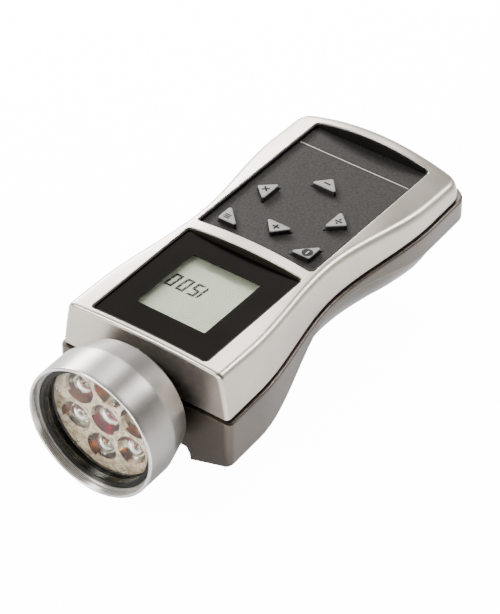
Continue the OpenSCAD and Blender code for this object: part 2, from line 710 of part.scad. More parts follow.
// Display stack, in the deck's own frame
window_low = -window_drop - window_t;
frame_wall = 2;
view_y = display_y + view_from_front;
view_r = 0.6;
lcd_gap = 0.6;
lcd_top = window_low - lcd_gap;
module display_window() {
  color([0.1, 0.09, 0.08])
  on_deck()
    slab(display_half - inner_gap, display_y + inner_gap, display_y + display_len - inner_gap,
         window_low, -window_drop, opening_r - lining_t);
}
module display_bezel() {
  color([0.05, 0.05, 0.05])
  on_deck() {
    difference() {
      slab(display_half - fit, display_y + fit, display_y + display_len - fit, board_top, window_low);
      slab(view_half + view_slack, view_y - view_slack, view_y + view_len + view_slack,
           lcd_top - cut, window_low + cut, view_r);
      slab(view_half + lcd_rim + fit, view_y - lcd_rim - fit, view_y + view_len + lcd_rim + fit,
           board_top - cut, lcd_top, view_r);
    }
    lining(display_half - fit, display_y + fit, display_y + display_len - fit, window_low - touch);
  }
}
module lcd_glass() {
  color([0.74, 0.77, 0.71])
  on_deck()
    slab(view_half + lcd_rim, view_y - lcd_rim, view_y + view_len + lcd_rim,
         lcd_top - lcd_t, lcd_top - touch, view_r - fit);
}
strip_w = 2.4;
module lcd_strips() {
  color([0.9, 0.6, 0.7])
  on_deck()
  for (y = [view_y - lcd_rim + 0.5, view_y + view_len + lcd_rim - 0.5 - strip_w]) {
    translate([-view_half - lcd_rim + 1, y, board_top + touch])
      cube([2 * (view_half + lcd_rim - 1), strip_w, lcd_top - lcd_t - board_top - 2 * touch]);
  }
}

// Keys: triangles given by their corners, grown or shrunk about the inscribed circle
function side(p, i) = norm(p[(i + 1) % 3] - p[(i + 2) % 3]);
function incentre(p) =
  (side(p, 0) * p[0] + side(p, 1) * p[1] + side(p, 2) * p[2]) / (side(p, 0) + side(p, 1) + side(p, 2));
function area2(p) =
  abs((p[1][0] - p[0][0]) * (p[2][1] - p[0][1]) - (p[2][0] - p[0][0]) * (p[1][1] - p[0][1]));
function inradius(p) = area2(p) / (side(p, 0) + side(p, 1) + side(p, 2));
function grown(p, d) =
  let (c = incentre(p), k = (inradius(p) + d) / inradius(p)) [for (q = p) c + k * (q - c)];
arrow_y = keypad_y + key_mid;
function arrow(way) =
  let (across = [-way[1], way[0]], base = [0, arrow_y] + way * key_base_at)
  [base - across * key_base / 2, base + across * key_base / 2, base + way * key_height];
function corner_key(s) =
  let (c = [s * corner_x, keypad_y + corner_y])
  [c, c + [0, corner_leg], c + [-s * corner_leg, 0]];
key_shapes = [
  arrow([0, -1]), arrow([0, 1]), arrow([-1, 0]), arrow([1, 0]), corner_key(-1), corner_key(1)];
panel_low = -panel_drop - panel_t;
key_gap = 0.1;
flange_top = panel_low - key_gap;
module prism(p, z0, z1) {
  translate([0, 0, z0]) linear_extrude(z1 - z0) polygon(p);
}
module key(shape) {
  color([0.72, 0.72, 0.71])
  on_deck() {
    prism(shape, flange_top - touch, -panel_drop + key_proud);
    prism(grown(shape, key_flange), flange_top - key_flange_t, flange_top);
  }
}
module key_plus() {
  key(key_shapes[0]);
}
module key_minus() {
  key(key_shapes[1]);
}
module key_times() {
  key(key_shapes[2]);
}
module key_divide() {
  key(key_shapes[3]);
}
module key_mode() {
  key(key_shapes[4]);
}
module key_power() {
  key(key_shapes[5]);
}
module keypad_panel() {
  color([0.36, 0.35, 0.34])
  on_deck()
  difference() {
    slab(keypad_half - inner_gap, keypad_y + inner_gap, keypad_y + keypad_len - inner_gap,
         panel_low, -panel_drop, opening_r - lining_t);
    for (p = key_shapes) prism(grown(p, fit), panel_low - cut, -panel_drop + cut);
  }
}
module keypad_frame() {
  color([0.07, 0.07, 0.07])
  on_deck() {
    difference() {
      slab(keypad_half - fit, keypad_y + fit, keypad_y + keypad_len - fit, board_top, panel_low);
      slab(keypad_half - fit - frame_wall, keypad_y + fit + frame_wall,
           keypad_y + keypad_len - fit - frame_wall, board_top - cut, panel_low + cut);
    }
    lining(keypad_half - fit, keypad_y + fit, keypad_y + keypad_len - fit, panel_low - touch);
  }
}
dome_top = flange_top - key_flange_t - key_travel - key_gap;
dome_r = 2;
mat_margin = 3;
mat_len = 66;
module key_mat() {
  color([0.55, 0.55, 0.55])
  on_deck() {
    slab(keypad_half - mat_margin - fit, keypad_y + mat_margin, keypad_y + mat_len,
         board_top, board_top + mat_t);
    for (p = key_shapes) {
      c = incentre(p);
      translate([c[0], c[1], board_top + mat_t - touch])
        cylinder(r = dome_r, h = dome_top - board_top - mat_t + touch);
    }
  }
}
board_half = display_half;
board_ear = 3;
module main_board() {
  color([0.1, 0.35, 0.15])
  on_deck()
  difference() {
    union() {
      slab(board_half, display_y + fit, keypad_y + keypad_len - fit, board_low, board_top);
      for (y = board_boss_y) {
        slab(board_boss_x + board_ear, y - board_ear, y + board_ear, board_low, board_top, 1);
      }
    }
    for (x = [-1, 1], y = board_boss_y) {
      translate([x * board_boss_x, y, board_low - cut]) cylinder(r = screw_r + touch, h = board_t + 2 * cut);
    }
  }
}
module board_screws() {
  color([0.55, 0.55, 0.56])
  board_boss_places() translate([0, 0, board_low - head_h]) screw(board_t + pilot_len * 0.5 - 0.5);
}
driver_half = 18;
driver_margin = 5;
module driver_board() {
  color([0.1, 0.3, 0.15])
  slab(driver_half, post_y[0] - driver_margin, post_y[1] + driver_margin, driver_z, driver_z + board_t, 1);
}

// Battery bay: three cells in a round carrier, and the sliding cover below
cells_y = bay_y + carrier_t + contact_gap;
module cell_places() {
  translate([0, 0, carrier_z])
  for (a = [90, 210, 330]) rotate([0, a, 0]) translate([cell_r * 2 / sqrt(3), 0, 0]) children();
}
can_r = cell_r - 0.05;
terminal_r = 2.6;
module cells() {
  color([0.25, 0.3, 0.35])
  cell_places() translate([0, cells_y, 0]) rotate([-90, 0, 0]) {
    cylinder(r = can_r, h = cell_len - terminal_len);
    translate([0, 0, cell_len - terminal_len - touch]) cylinder(r = terminal_r, h = terminal_len + touch);
  }
}
rod_r = 1;
module cell_carrier() {
  color([0.1, 0.1, 0.1])
  translate([0, bay_y, carrier_z]) rotate([-90, 0, 0]) {
    cylinder(r = carrier_r, h = carrier_t);
    translate([0, 0, bay_len - carrier_t]) cylinder(r = carrier_r, h = carrier_t);
    translate([0, 0, carrier_t - touch]) cylinder(r = rod_r, h = bay_len - 2 * carrier_t + 2 * touch);
  }
}
contact_r = 4;
module cell_contacts() {
  color([0.75, 0.72, 0.6])
  cell_places() {
    translate([0, bay_y + carrier_t, 0]) rotate([-90, 0, 0]) cylinder(r = contact_r, h = contact_gap);
    translate([0, cells_y + cell_len, 0]) rotate([-90, 0, 0]) cylinder(r = contact_r, h = contact_gap);
  }
}
hook_len = 8;
hook_t = 1.2;
hook_lip = 1.8;
hook_rise = 3.2;
hook_root = 2;
hook_lead = 6;
hook_tail = 14;
hook_y = [cover_y0 + cover_travel + hook_lead, cover_y1 - hook_tail];
ridge_len = 1.2;
ridge_h = 0.4;
module battery_cover() {
  color([0.42, 0.39, 0.36])
  union() {
    intersection() {
      tub(lower_grid(0), lower_grid(lower_wall), false);
      cover_box(0, cover_edge_z);
    }
    for (x = [-1, 1], y = hook_y) {
      translate([x * (cover_half - hook_t / 2) - hook_t / 2, y, cover_edge_z - hook_root])
        cube([hook_t, hook_len, hook_rise + hook_root]);
      translate([x * (cover_half + (hook_lip - hook_t) / 2) - (hook_t + hook_lip) / 2, y,
                 cover_edge_z + hook_rise - hook_t])
        cube([hook_t + hook_lip, hook_len, hook_t]);
    }
    for (i = [0:3]) {
      translate([-keel_half * 0.8, cover_y1 - hook_tail + i * 2 * ridge_len, cover_lift - ridge_h])
        cube([keel_half * 1.6, ridge_len, 2 * ridge_h]);
    }
  }
}
module tripod_insert() {
  color([0.72, 0.58, 0.28])
  translate([0, insert_y, 0])
  difference() {
    cylinder(r = insert_r - touch, h = thread_len + insert_wall * 0.5);
    translate([0, 0, -cut]) cylinder(r = thread_r, h = thread_len + cut);
  }
}
socket_back = 2;
module trigger_socket() {
  color([0.08, 0.08, 0.08])
  translate([socket_x, lower_tail_y, socket_z]) rotate([90, 0, 0])
  difference() {
    cylinder(r = socket_r - touch, h = socket_len + socket_back);
    translate([0, 0, -cut]) cylinder(r = socket_bore_r, h = socket_len + cut);
  }
}

upper_shell();
lower_shell();
shell_gasket();
shell_screws();
lamp_housing();
retaining_ring();
cover_disc();
cover_seal();
lens_array();
led_board();
leds();
lamp_neck();
lamp_screws();
heat_sink();
display_window();
display_bezel();
lcd_glass();
lcd_strips();
keypad_panel();
keypad_frame();
key_plus();
key_minus();
key_times();
key_divide();
key_mode();
key_power();
key_mat();
main_board();
board_screws();
driver_board();
battery_cover();
cell_carrier();
cells();
cell_contacts();
tripod_insert();
trigger_socket();
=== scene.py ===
from math import asin, atan2, cos, dist, pi, radians, sin, sqrt, tan

import bpy
from mathutils import Matrix, Vector


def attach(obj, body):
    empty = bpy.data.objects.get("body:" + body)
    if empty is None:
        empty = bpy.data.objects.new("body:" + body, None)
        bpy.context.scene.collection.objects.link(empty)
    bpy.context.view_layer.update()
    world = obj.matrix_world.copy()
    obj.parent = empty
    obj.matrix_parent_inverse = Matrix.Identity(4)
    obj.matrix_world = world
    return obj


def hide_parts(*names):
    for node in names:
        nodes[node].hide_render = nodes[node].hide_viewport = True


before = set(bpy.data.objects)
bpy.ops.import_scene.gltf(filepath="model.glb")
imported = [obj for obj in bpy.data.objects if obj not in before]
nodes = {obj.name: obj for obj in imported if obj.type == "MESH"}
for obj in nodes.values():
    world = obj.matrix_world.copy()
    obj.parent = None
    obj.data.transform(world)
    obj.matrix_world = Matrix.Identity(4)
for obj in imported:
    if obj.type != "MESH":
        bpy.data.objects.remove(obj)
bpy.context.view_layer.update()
mm = 0.001


# colour and node helpers
def srgb(r, g, b):
    def lin(v):
        v = v / 255
        return v / 12.92 if v <= 0.04045 else ((v + 0.055) / 1.055) ** 2.4
    return (lin(r), lin(g), lin(b), 1.0)


def newGroup(name, inputs, outputs):
    tree = bpy.data.node_groups.new(name, "ShaderNodeTree")
    for way, labels in (("INPUT", inputs), ("OUTPUT", outputs)):
        for label in labels:
            kind = "NodeSocketVector" if label == "Normal" else "NodeSocketFloat"
            tree.interface.new_socket(label, in_out=way, socket_type=kind)
    place = tree.nodes.new("ShaderNodeTexCoord")
    return tree, tree.nodes.new("NodeGroupInput"), tree.nodes.new("NodeGroupOutput"), place


def addNode(tree, kind, **settings):
    node = tree.nodes.new("ShaderNode" + kind)
    for key, value in settings.items():
        if key in node.inputs:
            node.inputs[key].default_value = value
        else:
            setattr(node, key, value)
    return node


def ramp(tree, stops):
    node = addNode(tree, "ValToRGB")
    band = node.color_ramp
    band.elements[0].position, band.elements[0].color = stops[0]
    band.elements[1].position, band.elements[1].color = stops[-1]
    for place, colour in stops[1:-1]:
        band.elements.new(place).color = colour
    return node


# rows of node, output, node, input, or of two sockets
def link(tree, *rows):
    for row in rows:
        if len(row) == 4:
            row = (row[0].outputs[row[1]], row[2].inputs[row[3]])
        tree.links.new(*row)


# fine surface grain: a soft mask for colour and gloss, and a bumped normal
def makeGrainGroup():
    tree, enter, leave, place = newGroup("surfaceGrain", ["Scale", "Depth", "Cloud"], ["Mask", "Normal"])
    fine = addNode(tree, "TexNoise", Detail=3.0, Roughness=0.6)
    cloud = addNode(tree, "TexNoise", Detail=4.0, Roughness=0.55)
    spread = addNode(tree, "MapRange", **{"From Min": 0.32, "From Max": 0.68})
    bump = addNode(tree, "Bump", Distance=0.0002)
    link(tree, (place, "Object", fine, "Vector"), (place, "Object", cloud, "Vector"), (enter, "Scale", fine, "Scale"),
         (enter, "Cloud", cloud, "Scale"), (cloud, "Fac", spread, "Value"), (fine, "Fac", bump, "Height"),
         (enter, "Depth", bump, "Strength"), (spread, "Result", leave, "Mask"), (bump, "Normal", leave, "Normal"))
    return tree


# rubbed edges: where the surface turns outwards, broken up by noise
def makeWearGroup():
    tree, enter, leave, place = newGroup("edgeWear", ["Amount"], ["Mask"])
    shape = addNode(tree, "NewGeometry")
    noise = addNode(tree, "TexNoise", Scale=260.0, Detail=3.0)
    edge = addNode(tree, "MapRange", **{"From Min": 0.56, "From Max": 0.7})
    both = addNode(tree, "Math", operation="MULTIPLY")
    scaled = addNode(tree, "Math", operation="MULTIPLY", use_clamp=True)
    link(tree, (place, "Object", noise, "Vector"), (shape, "Pointiness", edge, "Value"), (edge, "Result", both, 0),
         (noise, "Fac", both, 1), (both, "Value", scaled, 0), (enter, "Amount", scaled, 1),
         (scaled, "Value", leave, "Mask"))
    return tree


# fine rings along the lamp axis: a mask for gloss, and a bumped normal
def makeRingGroup():
    tree, enter, leave, place = newGroup("turnedRings", ["Rings"], ["Mask", "Normal"])
    stretch = addNode(tree, "CombineXYZ", X=6.0, Z=6.0)
    squeeze = addNode(tree, "Mapping")
    noise = addNode(tree, "TexNoise", Scale=1.0, Detail=4.0, Roughness=0.65)
    bump = addNode(tree, "Bump", Strength=0.003, Distance=0.0001)
    link(tree, (enter, "Rings", stretch, "Y"), (stretch, "Vector", squeeze, "Scale"),
         (place, "Object", squeeze, "Vector"), (squeeze, "Vector", noise, "Vector"), (noise, "Fac", bump, "Height"),
         (noise, "Fac", leave, "Mask"), (bump, "Normal", leave, "Normal"))
    return tree


# small cells, each with a value of its own
def makeCellGroup():
    tree, enter, leave, place = newGroup("mosaicCells", ["Scale"], ["Mask"])
    cells = addNode(tree, "TexVoronoi")
    pick = addNode(tree, "SeparateColor")
    link(tree, (place, "Object", cells, "Vector"), (enter, "Scale", cells, "Scale"), (cells, "Color", pick, "Color"),
         (pick, "Red", leave, "Mask"))
    return tree


grainGroup, wearGroup, ringGroup, cellGroup = makeGrainGroup(), makeWearGroup(), makeRingGroup(), makeCellGroup()


def groupNode(tree, group, **settings):
    return addNode(tree, "Group", node_tree=group, **settings)


# short words for the shader's own sockets
socketNames = {"metal": "Metallic", "specular": "Specular IOR Level", "coat": "Coat Weight",
               "coatRough": "Coat Roughness", "streak": "Anisotropic", "streakTurn": "Anisotropic Rotation",
               "tint": "Base Color", "clear": "Transmission Weight", "ior": "IOR", "glow": "Emission Color"}


def newMaterial(name, **settings):
    mat = bpy.data.materials.new(name)
    mat.use_nodes = True
    bsdf = mat.node_tree.nodes["Principled BSDF"]
    for key, value in settings.items():
        bsdf.inputs[socketNames[key]].default_value = value
    return mat, mat.node_tree, bsdf


# two tones or colour sockets, blended by the mask of a group
def mixColour(tree, group, a, b):
    node = addNode(tree, "Mix", data_type="RGBA")
    for label, source in (("A", a), ("B", b)):
        goal = [s for s in node.inputs if s.name == label and s.type == "RGBA"][0]
        if isinstance(source, tuple):
            goal.default_value = srgb(*source)
        else:
            tree.links.new(source, goal)
    tree.links.new(group.outputs["Mask"], node.inputs["Factor"])
    return [s for s in node.outputs if s.type == "RGBA"][0]


# uneven gloss: the group's mask runs between two values of roughness
def unevenGloss(tree, bsdf, group, rough, low=0.0, high=1.0):
    gloss = addNode(tree, "MapRange",
                    **{"From Min": low, "From Max": high, "To Min": rough[0], "To Max": rough[1]})
    link(tree, (group, "Mask", gloss, "Value"), (gloss, "Result", bsdf, "Roughness"))


# rays that the mask picks go straight through
def letThrough(tree, bsdf, mask, tint):
    clear = addNode(tree, "BsdfTransparent", Color=tint)
    blend = addNode(tree, "MixShader")
    link(tree, (mask, blend.inputs["Fac"]), (bsdf, "BSDF", blend, 1), (clear, "BSDF", blend, 2),
         (blend.outputs["Shader"], tree.nodes["Material Output"].inputs["Surface"]))


# a moulded or painted surface with two tones, uneven gloss, grain and rubbed edges
def moulded(name, tones, rough, grain, depth, cloud=60.0, wear=None, wearAmount=0.6, **shader):
    mat, tree, bsdf = newMaterial(name, **shader)
    grainNode = groupNode(tree, grainGroup, Scale=grain, Depth=depth, Cloud=cloud)
    colour = mixColour(tree, grainNode, *tones)
    if wear:
        wearNode = groupNode(tree, wearGroup, Amount=wearAmount)
        colour = mixColour(tree, wearNode, colour, wear)
    unevenGloss(tree, bsdf, grainNode, rough)
    link(tree, (colour, bsdf.inputs["Base Color"]), (grainNode, "Normal", bsdf, "Normal"))
    return mat


# clear pieces let shadow rays through, so what lies behind stays lit
def clearPiece(name, tint, ior, rough):
    mat, tree, bsdf = newMaterial(name, tint=tint, clear=1.0, ior=ior)
    smear = groupNode(tree, grainGroup, Scale=300.0, Depth=0.0, Cloud=40.0)
    unevenGloss(tree, bsdf, smear, rough)
    path = addNode(tree, "LightPath")
    letThrough(tree, bsdf, path.outputs["Is Shadow Ray"], tint)
    return mat


# turned metal: fine rings along the axis, stretched highlights round it
def turnedMetal(name, tones, rough, rings, metal=1.0, **shader):
    mat, tree, bsdf = newMaterial(name, metal=metal, **shader)
    ringNode = groupNode(tree, ringGroup, Rings=rings)
    grainNode = groupNode(tree, grainGroup, Scale=500.0, Depth=0.05, Cloud=35.0)
    colour = mixColour(tree, grainNode, *tones)
    around = addNode(tree, "Tangent", direction_type="RADIAL", axis="Y")
    unevenGloss(tree, bsdf, ringNode, rough, low=0.3, high=0.7)
    link(tree, (colour, bsdf.inputs["Base Color"]), (ringNode, "Normal", bsdf, "Normal"),
         (around, "Tangent", bsdf, "Tangent"))
    return mat


# polished reflector broken into patches of colour that are painted reflections: brown, white, red and amber stand in
# for what the real dishes mirror
def paintedReflectionMosaic(name, stops):
    mat, tree, bsdf = newMaterial(name, metal=0.85)
    cellNode = groupNode(tree, cellGroup, Scale=420.0)
    grainNode = groupNode(tree, grainGroup, Scale=700.0, Depth=0.25, Cloud=300.0)
    band = ramp(tree, [(at, srgb(*tone)) for at, tone in stops])
    band.color_ramp.interpolation = "CONSTANT"
    unevenGloss(tree, bsdf, grainNode, (0.08, 0.2))
    link(tree, (cellNode, "Mask", band, "Fac"), (band, "Color", bsdf, "Base Color"),
         (grainNode, "Normal", bsdf, "Normal"))
    return mat


mats = {
    "silver": moulded("silverPaint", ((190, 181, 171), (202, 193, 183)), (0.3, 0.36), 2600.0, 0.12,
                      wear=(226, 224, 220), wearAmount=0.5, metal=0.82, coat=0.1),
    "grey": moulded("warmGreyMoulding", ((78, 67, 56), (87, 76, 65)), (0.34, 0.42), 2200.0, 0.2,
                    wear=(140, 133, 126), wearAmount=0.4, metal=0.55, coat=0.45, coatRough=0.16),
    "black": moulded("blackMoulding", ((14, 13, 11), (19, 18, 15)), (0.45, 0.6), 1800.0, 0.2, specular=0.25),
    "anodised": moulded("anodisedRing", ((20, 21, 18), (28, 29, 25)), (0.34, 0.44), 1200.0, 0.1, metal=0.6),
    # the ring's inner lands are painted paler than the anodised ring: a painted highlight along the ridges
    "landHighlight": moulded("ringLandHighlight", ((92, 95, 88), (112, 115, 107)), (0.24, 0.34), 1200.0, 0.1, metal=0.7),
    "rubber": moulded("blackRubber", ((48, 42, 36), (58, 51, 44)), (0.7, 0.85), 1500.0, 0.3, specular=0.2),
    "mask": moulded("windowMask", ((46, 42, 33), (52, 48, 38)), (0.5, 0.6), 900.0, 0.05, specular=0.1),
    "smoke": moulded("smokedBorder", ((16, 14, 9), (19, 16, 11)), (0.1, 0.16), 900.0, 0.01, specular=0.03),
    "panel": moulded("keyPanel", ((38, 37, 35), (64, 62, 59)), (0.55, 0.7), 1500.0, 0.8, cloud=1300.0, specular=0.14),
    "keyTop": moulded("keyTop", ((142, 142, 140), (154, 154, 151)), (0.42, 0.52), 1600.0, 0.15, wear=(196, 195, 192)),
    # key walls and flange are painted near-black: painted shade on the sides of the keys
    "keyShadedSide": moulded("keyShadedSide", ((34, 33, 31), (42, 40, 38)), (0.45, 0.55), 1600.0, 0.15),
    "ink": moulded("keyInk", ((12, 12, 12), (17, 17, 17)), (0.5, 0.65), 900.0, 0.1, specular=0.2),
    "paleInk": moulded("paleInk", ((172, 171, 168), (186, 185, 182)), (0.5, 0.6), 900.0, 0.1),
    "lcd": moulded("displayGlass", ((138, 146, 130), (146, 154, 138)), (0.35, 0.45), 700.0, 0.03, cloud=90.0),
    "segment": moulded("displaySegment", ((8, 9, 7), (12, 13, 11)), (0.4, 0.5), 700.0, 0.03, specular=0.1),
    "window": clearPiece("clearWindow", (0.93, 0.93, 0.9, 1.0), 1.08, (0.0, 0.02)),
    "clear": clearPiece("clearDisc", (0.98, 0.99, 0.98, 1.0), 1.12, (0.0, 0.02)),
    "lamp": turnedMetal("turnedAluminium", ((150, 147, 143), (162, 159, 155)), (0.36, 0.39), 3200.0,
                        streak=0.3, streakTurn=0.25),
    # the lip is painted far paler than the lamp's turned aluminium: a painted highlight
    "lip": turnedMetal("turnedLipPaintedHighlight", ((236, 231, 226), (244, 240, 235)), (0.24, 0.3), 2400.0, metal=0.7),
    "sink": turnedMetal("finnedAluminium", ((150, 150, 152), (168, 168, 170)), (0.3, 0.45), 900.0),
    "steel": turnedMetal("screwSteel", ((140, 140, 142), (160, 160, 161)), (0.25, 0.4), 1800.0),
    "brass": turnedMetal("brassInsert", ((186, 150, 78), (202, 168, 94)), (0.22, 0.36), 1800.0),
    "contact": turnedMetal("platedContact", ((184, 178, 154), (198, 194, 172)), (0.22, 0.34), 1200.0),
    "plate": moulded("lensPlate", ((116, 94, 62), (232, 215, 182)), (0.06, 0.25), 500.0, 0.7, cloud=420.0,
                     metal=0.3, coat=0.8),
    # the dish colours below are painted reflections, not the reflector's own colour
    "dish": paintedReflectionMosaic("lensPaintedReflection", [(0.0, (60, 50, 32)), (0.25, (196, 188, 170)), (0.45, (30, 25, 17)),
                                              (0.6, (128, 112, 80)), (0.75, (224, 220, 208)), (0.9, (48, 40, 26))]),
    "dishPaintedRedReflection": paintedReflectionMosaic("lensPaintedRedReflection", [(0.0, (128, 18, 40)), (0.4, (104, 14, 30)), (0.7, (150, 40, 56)),
                                           (0.9, (84, 20, 24))]),
    "dishPaintedAmberReflection": paintedReflectionMosaic("lensPaintedAmberReflection", [(0.0, (140, 78, 22)), (0.4, (96, 52, 18)), (0.65, (176, 112, 48)),
                                               (0.9, (70, 40, 20))]),
    "dome": clearPiece("lensDome", (0.98, 0.96, 0.92, 1.0), 1.46, (0.0, 0.01)),
    "led": moulded("ledPhosphor", ((222, 178, 60), (236, 200, 92)), (0.3, 0.5), 900.0, 0.2),
    "boardWhite": moulded("whiteBoard", ((200, 199, 194), (212, 211, 207)), (0.4, 0.5), 900.0, 0.1),
    "board": moulded("greenBoard", ((16, 62, 32), (26, 82, 44)), (0.3, 0.45), 900.0, 0.2, cloud=240.0),
    "strip": moulded("contactStrip", ((196, 136, 156), (210, 154, 172)), (0.6, 0.7), 1200.0, 0.2),
    "mat": moulded("switchMat", ((120, 120, 120), (132, 132, 132)), (0.65, 0.8), 1200.0, 0.3),
    "cell": moulded("cellSleeve", ((40, 50, 64), (54, 66, 82)), (0.25, 0.35), 600.0, 0.05),
}
print("materials", len(mats))

# what the CAD nodes that stay are made of
nodeLooks = {
    "rubber": ["shell_gasket", "cover_seal"], "steel": ["shell_screws", "lamp_screws", "board_screws"],
    "black": ["lamp_neck", "keypad_frame", "cell_carrier", "trigger_socket"], "board": ["main_board", "driver_board"],
    "boardWhite": ["led_board"], "led": ["leds"], "sink": ["heat_sink"], "mask": ["display_bezel"],
    "lcd": ["lcd_glass"], "strip": ["lcd_strips"], "panel": ["keypad_panel"], "mat": ["key_mat"], "cell": ["cells"],
    "contact": ["cell_contacts"], "brass": ["tripod_insert"],
}
for look, nodeNames in nodeLooks.items():
    for nodeName in nodeNames:
        nodes[nodeName].data.materials.clear()
        nodes[nodeName].data.materials.append(mats[look])


# mesh helpers; a shape is its points in millimetres and its faces
def newMesh(name, shape):
    mesh = bpy.data.meshes.new(name)
    mesh.from_pydata([Vector(p) * mm for p in shape[0]], [], shape[1])
    return mesh


def makePiece(name, shape, looks, slot=None, stands=None, body="housing", faceLook=None, sharp=35.0):
    mesh = newMesh(name, shape)
    mesh.validate()
    for look in looks:
        mesh.materials.append(mats[look])
    if faceLook:
        for polygon, index in zip(mesh.polygons, faceLook):
            polygon.material_index = index
    piece = addObject(name, mesh)
    smoothen(piece, sharp)
    if slot:
        settle(piece, stands, body)
    return piece


def addObject(name, data):
    made = bpy.data.objects.new(name, data)
    bpy.context.scene.collection.objects.link(made)
    return made


def settle(piece, stands, body="housing"):
    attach(piece, body)
    if stands:
        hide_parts(stands)


def smoothen(piece, sharp=35.0, weigh=False):
    mesh = piece.data
    for polygon in mesh.polygons:
        polygon.use_smooth = True
    mesh.set_sharp_from_angle(angle=radians(sharp))
    mesh.update()
    if weigh:  # broad flat faces keep their own normals
        piece.modifiers.new("weigh", "WEIGHTED_NORMAL").keep_sharp = True


# skin over a row of closed loops
def bridge(loops, caps=True):
    count = len(loops[0])
    points = [p for loop in loops for p in loop]
    faces = []
    for k in range(len(loops) - 1):
        for j in range(count):
            a, b = k * count + j, k * count + (j + 1) % count
            faces.append((a, b, b + count, a + count))
    if caps:
        faces.append(tuple(range(count - 1, -1, -1)))
        faces.append(tuple(range((len(loops) - 1) * count, len(loops) * count)))
    return points, faces


def joined(parts):
    points, faces = [], []
    for partPoints, partFaces in parts:
        start = len(points)
        points += partPoints
        faces += [tuple(i + start for i in f) for f in partFaces]
    return points, faces


def circle(centre, radius, steps):
    turns = [2 * pi * i / steps for i in range(steps)]
    return [(centre[0] + radius * cos(a), centre[1] + radius * sin(a)) for a in turns]


# circles about the lamp axis; the profile is (radius, distance behind the lamp face)
def turnedLoops(profile, steps, centre=(0.0, 0.0)):
    middle = (centre[0], lampZ + centre[1])
    return [[(x, lampFaceY + depth, z) for x, z in circle(middle, radius, steps)] for radius, depth in profile]


def turned(profile, steps, centre=(0.0, 0.0)):
    loops = turnedLoops(profile, steps, centre)
    return bridge(loops + loops[:1], False)


def carve(piece, shape, operation="DIFFERENCE"):
    tool = addObject("cutter", newMesh("cutter", shape))
    mod = piece.modifiers.new("carve", "BOOLEAN")
    mod.operation = operation
    mod.object = tool
    mod.solver = "EXACT"
    graph = bpy.context.evaluated_depsgraph_get()
    made = bpy.data.meshes.new_from_object(piece.evaluated_get(graph))
    piece.modifiers.clear()
    piece.data = made
    bpy.data.objects.remove(tool)


def rod(start, end, radius, steps=48):
    axis = Vector(end) - Vector(start)
    side = axis.orthogonal().normalized()
    other = axis.normalized().cross(side)
    turns = [2 * pi * i / steps for i in range(steps)]
    return bridge([[tuple(Vector(p) + radius * (cos(a) * side + sin(a) * other)) for a in turns]
                   for p in (start, end)])


def block(low, high):
    x0, y0, z0 = low
    x1, y1, z1 = high
    loop = [(x0, y0), (x1, y0), (x1, y1), (x0, y1)]
    return bridge([[(x, y, z0) for x, y in loop], [(x, y, z1) for x, y in loop]])


# body form, the same curves as the solids
lampFaceY, lampZ = -95.5, 28.3
form = {
    "upperEnds": (-62.5, 93.3), "lowerEnds": (-63.5, 95.5), "endTurn": 8, "endRows": 11, "waist": 13.0,
    "frontRun": 56.0, "tailRun": 58.0, "deckZ": 49.5, "deckTilt": radians(1.67),
    "seamZ": 33.3, "seamTilt": radians(2.48), "crownFront": 0.8, "crownTail": 3.6, "crownHalf": 27.0,
    "seamHalf": (38.4, 31.4, 38.5), "crestHalf": (35.8, 30.8, 38.2), "gasket": 1.2, "endFloor": 0.02,
    "cornerShrink": 0.5,
    "neckY": (-66.0, -57.3), "neckR": 14.7, "neckSteps": 72, "sharp": 32.0,
}


def ease(t):
    t = min(1.0, max(0.0, t))
    return t * t * (3 - 2 * t)


def mix(a, b, t):
    return a + (b - a) * t


def waisted(y, halves):
    front, waist, tail = halves
    if y < form["waist"]:
        return mix(waist, front, ease((form["waist"] - y) / form["frontRun"]))
    return mix(waist, tail, ease((y - form["waist"]) / form["tailRun"]))


def roundIn(d, r):
    return 0.0 if d >= r else r - sqrt(max(0.0, r * r - (r - d) ** 2))


def seamAt(y):
    return form["seamZ"] + y * tan(form["seamTilt"])


def crownAt(y):
    front, tail = form["upperEnds"]
    return mix(form["crownFront"], form["crownTail"], (y - front) / (tail - front))


def deckAt(x, y):
    return form["deckZ"] - y * tan(form["deckTilt"]) + crownAt(y) * (1 - (x / form["crownHalf"]) ** 2)


def onDeck(x, y, w):
    c, s = cos(form["deckTilt"]), sin(form["deckTilt"])
    return (x, y * c + w * s, form["deckZ"] - y * s + w * c)


# flat shape laid along the deck at one level
def laid(shape, w):
    return [onDeck(x, y, w) for x, y in shape]


def stations(y0, y1, r0, r1, steps):
    turns = [radians(form["endTurn"] * i) for i in range(form["endRows"])]
    return ([y0 + r0 * (1 - cos(a)) for a in turns]
            + [mix(y0 + r0, y1 - r1, i / steps) for i in range(steps + 1)]
            + [y1 - r1 * (1 - cos(a)) for a in reversed(turns)])


# rows of points along the body, drawn in at the rounded corners and mirrored
def grid(half, shape, ends, inset):
    y0, y1 = ends[0] + inset, ends[1] - inset
    front, tail = [shape[key] - inset * form["cornerShrink"] for key in ("frontCorner", "tailCorner")]
    rows = []
    for y in stations(y0, y1, shape["frontCorner"], shape["tailCorner"], shape["rows"]):
        gaps = (y - y0 + form["endFloor"], y1 - y + form["endFloor"])
        right = half(y, gaps, roundIn(gaps[0], front) + roundIn(gaps[1], tail), inset)
        rows.append(right + [(-x, y, z) for x, y, z in reversed(right[:-1])])
    return rows


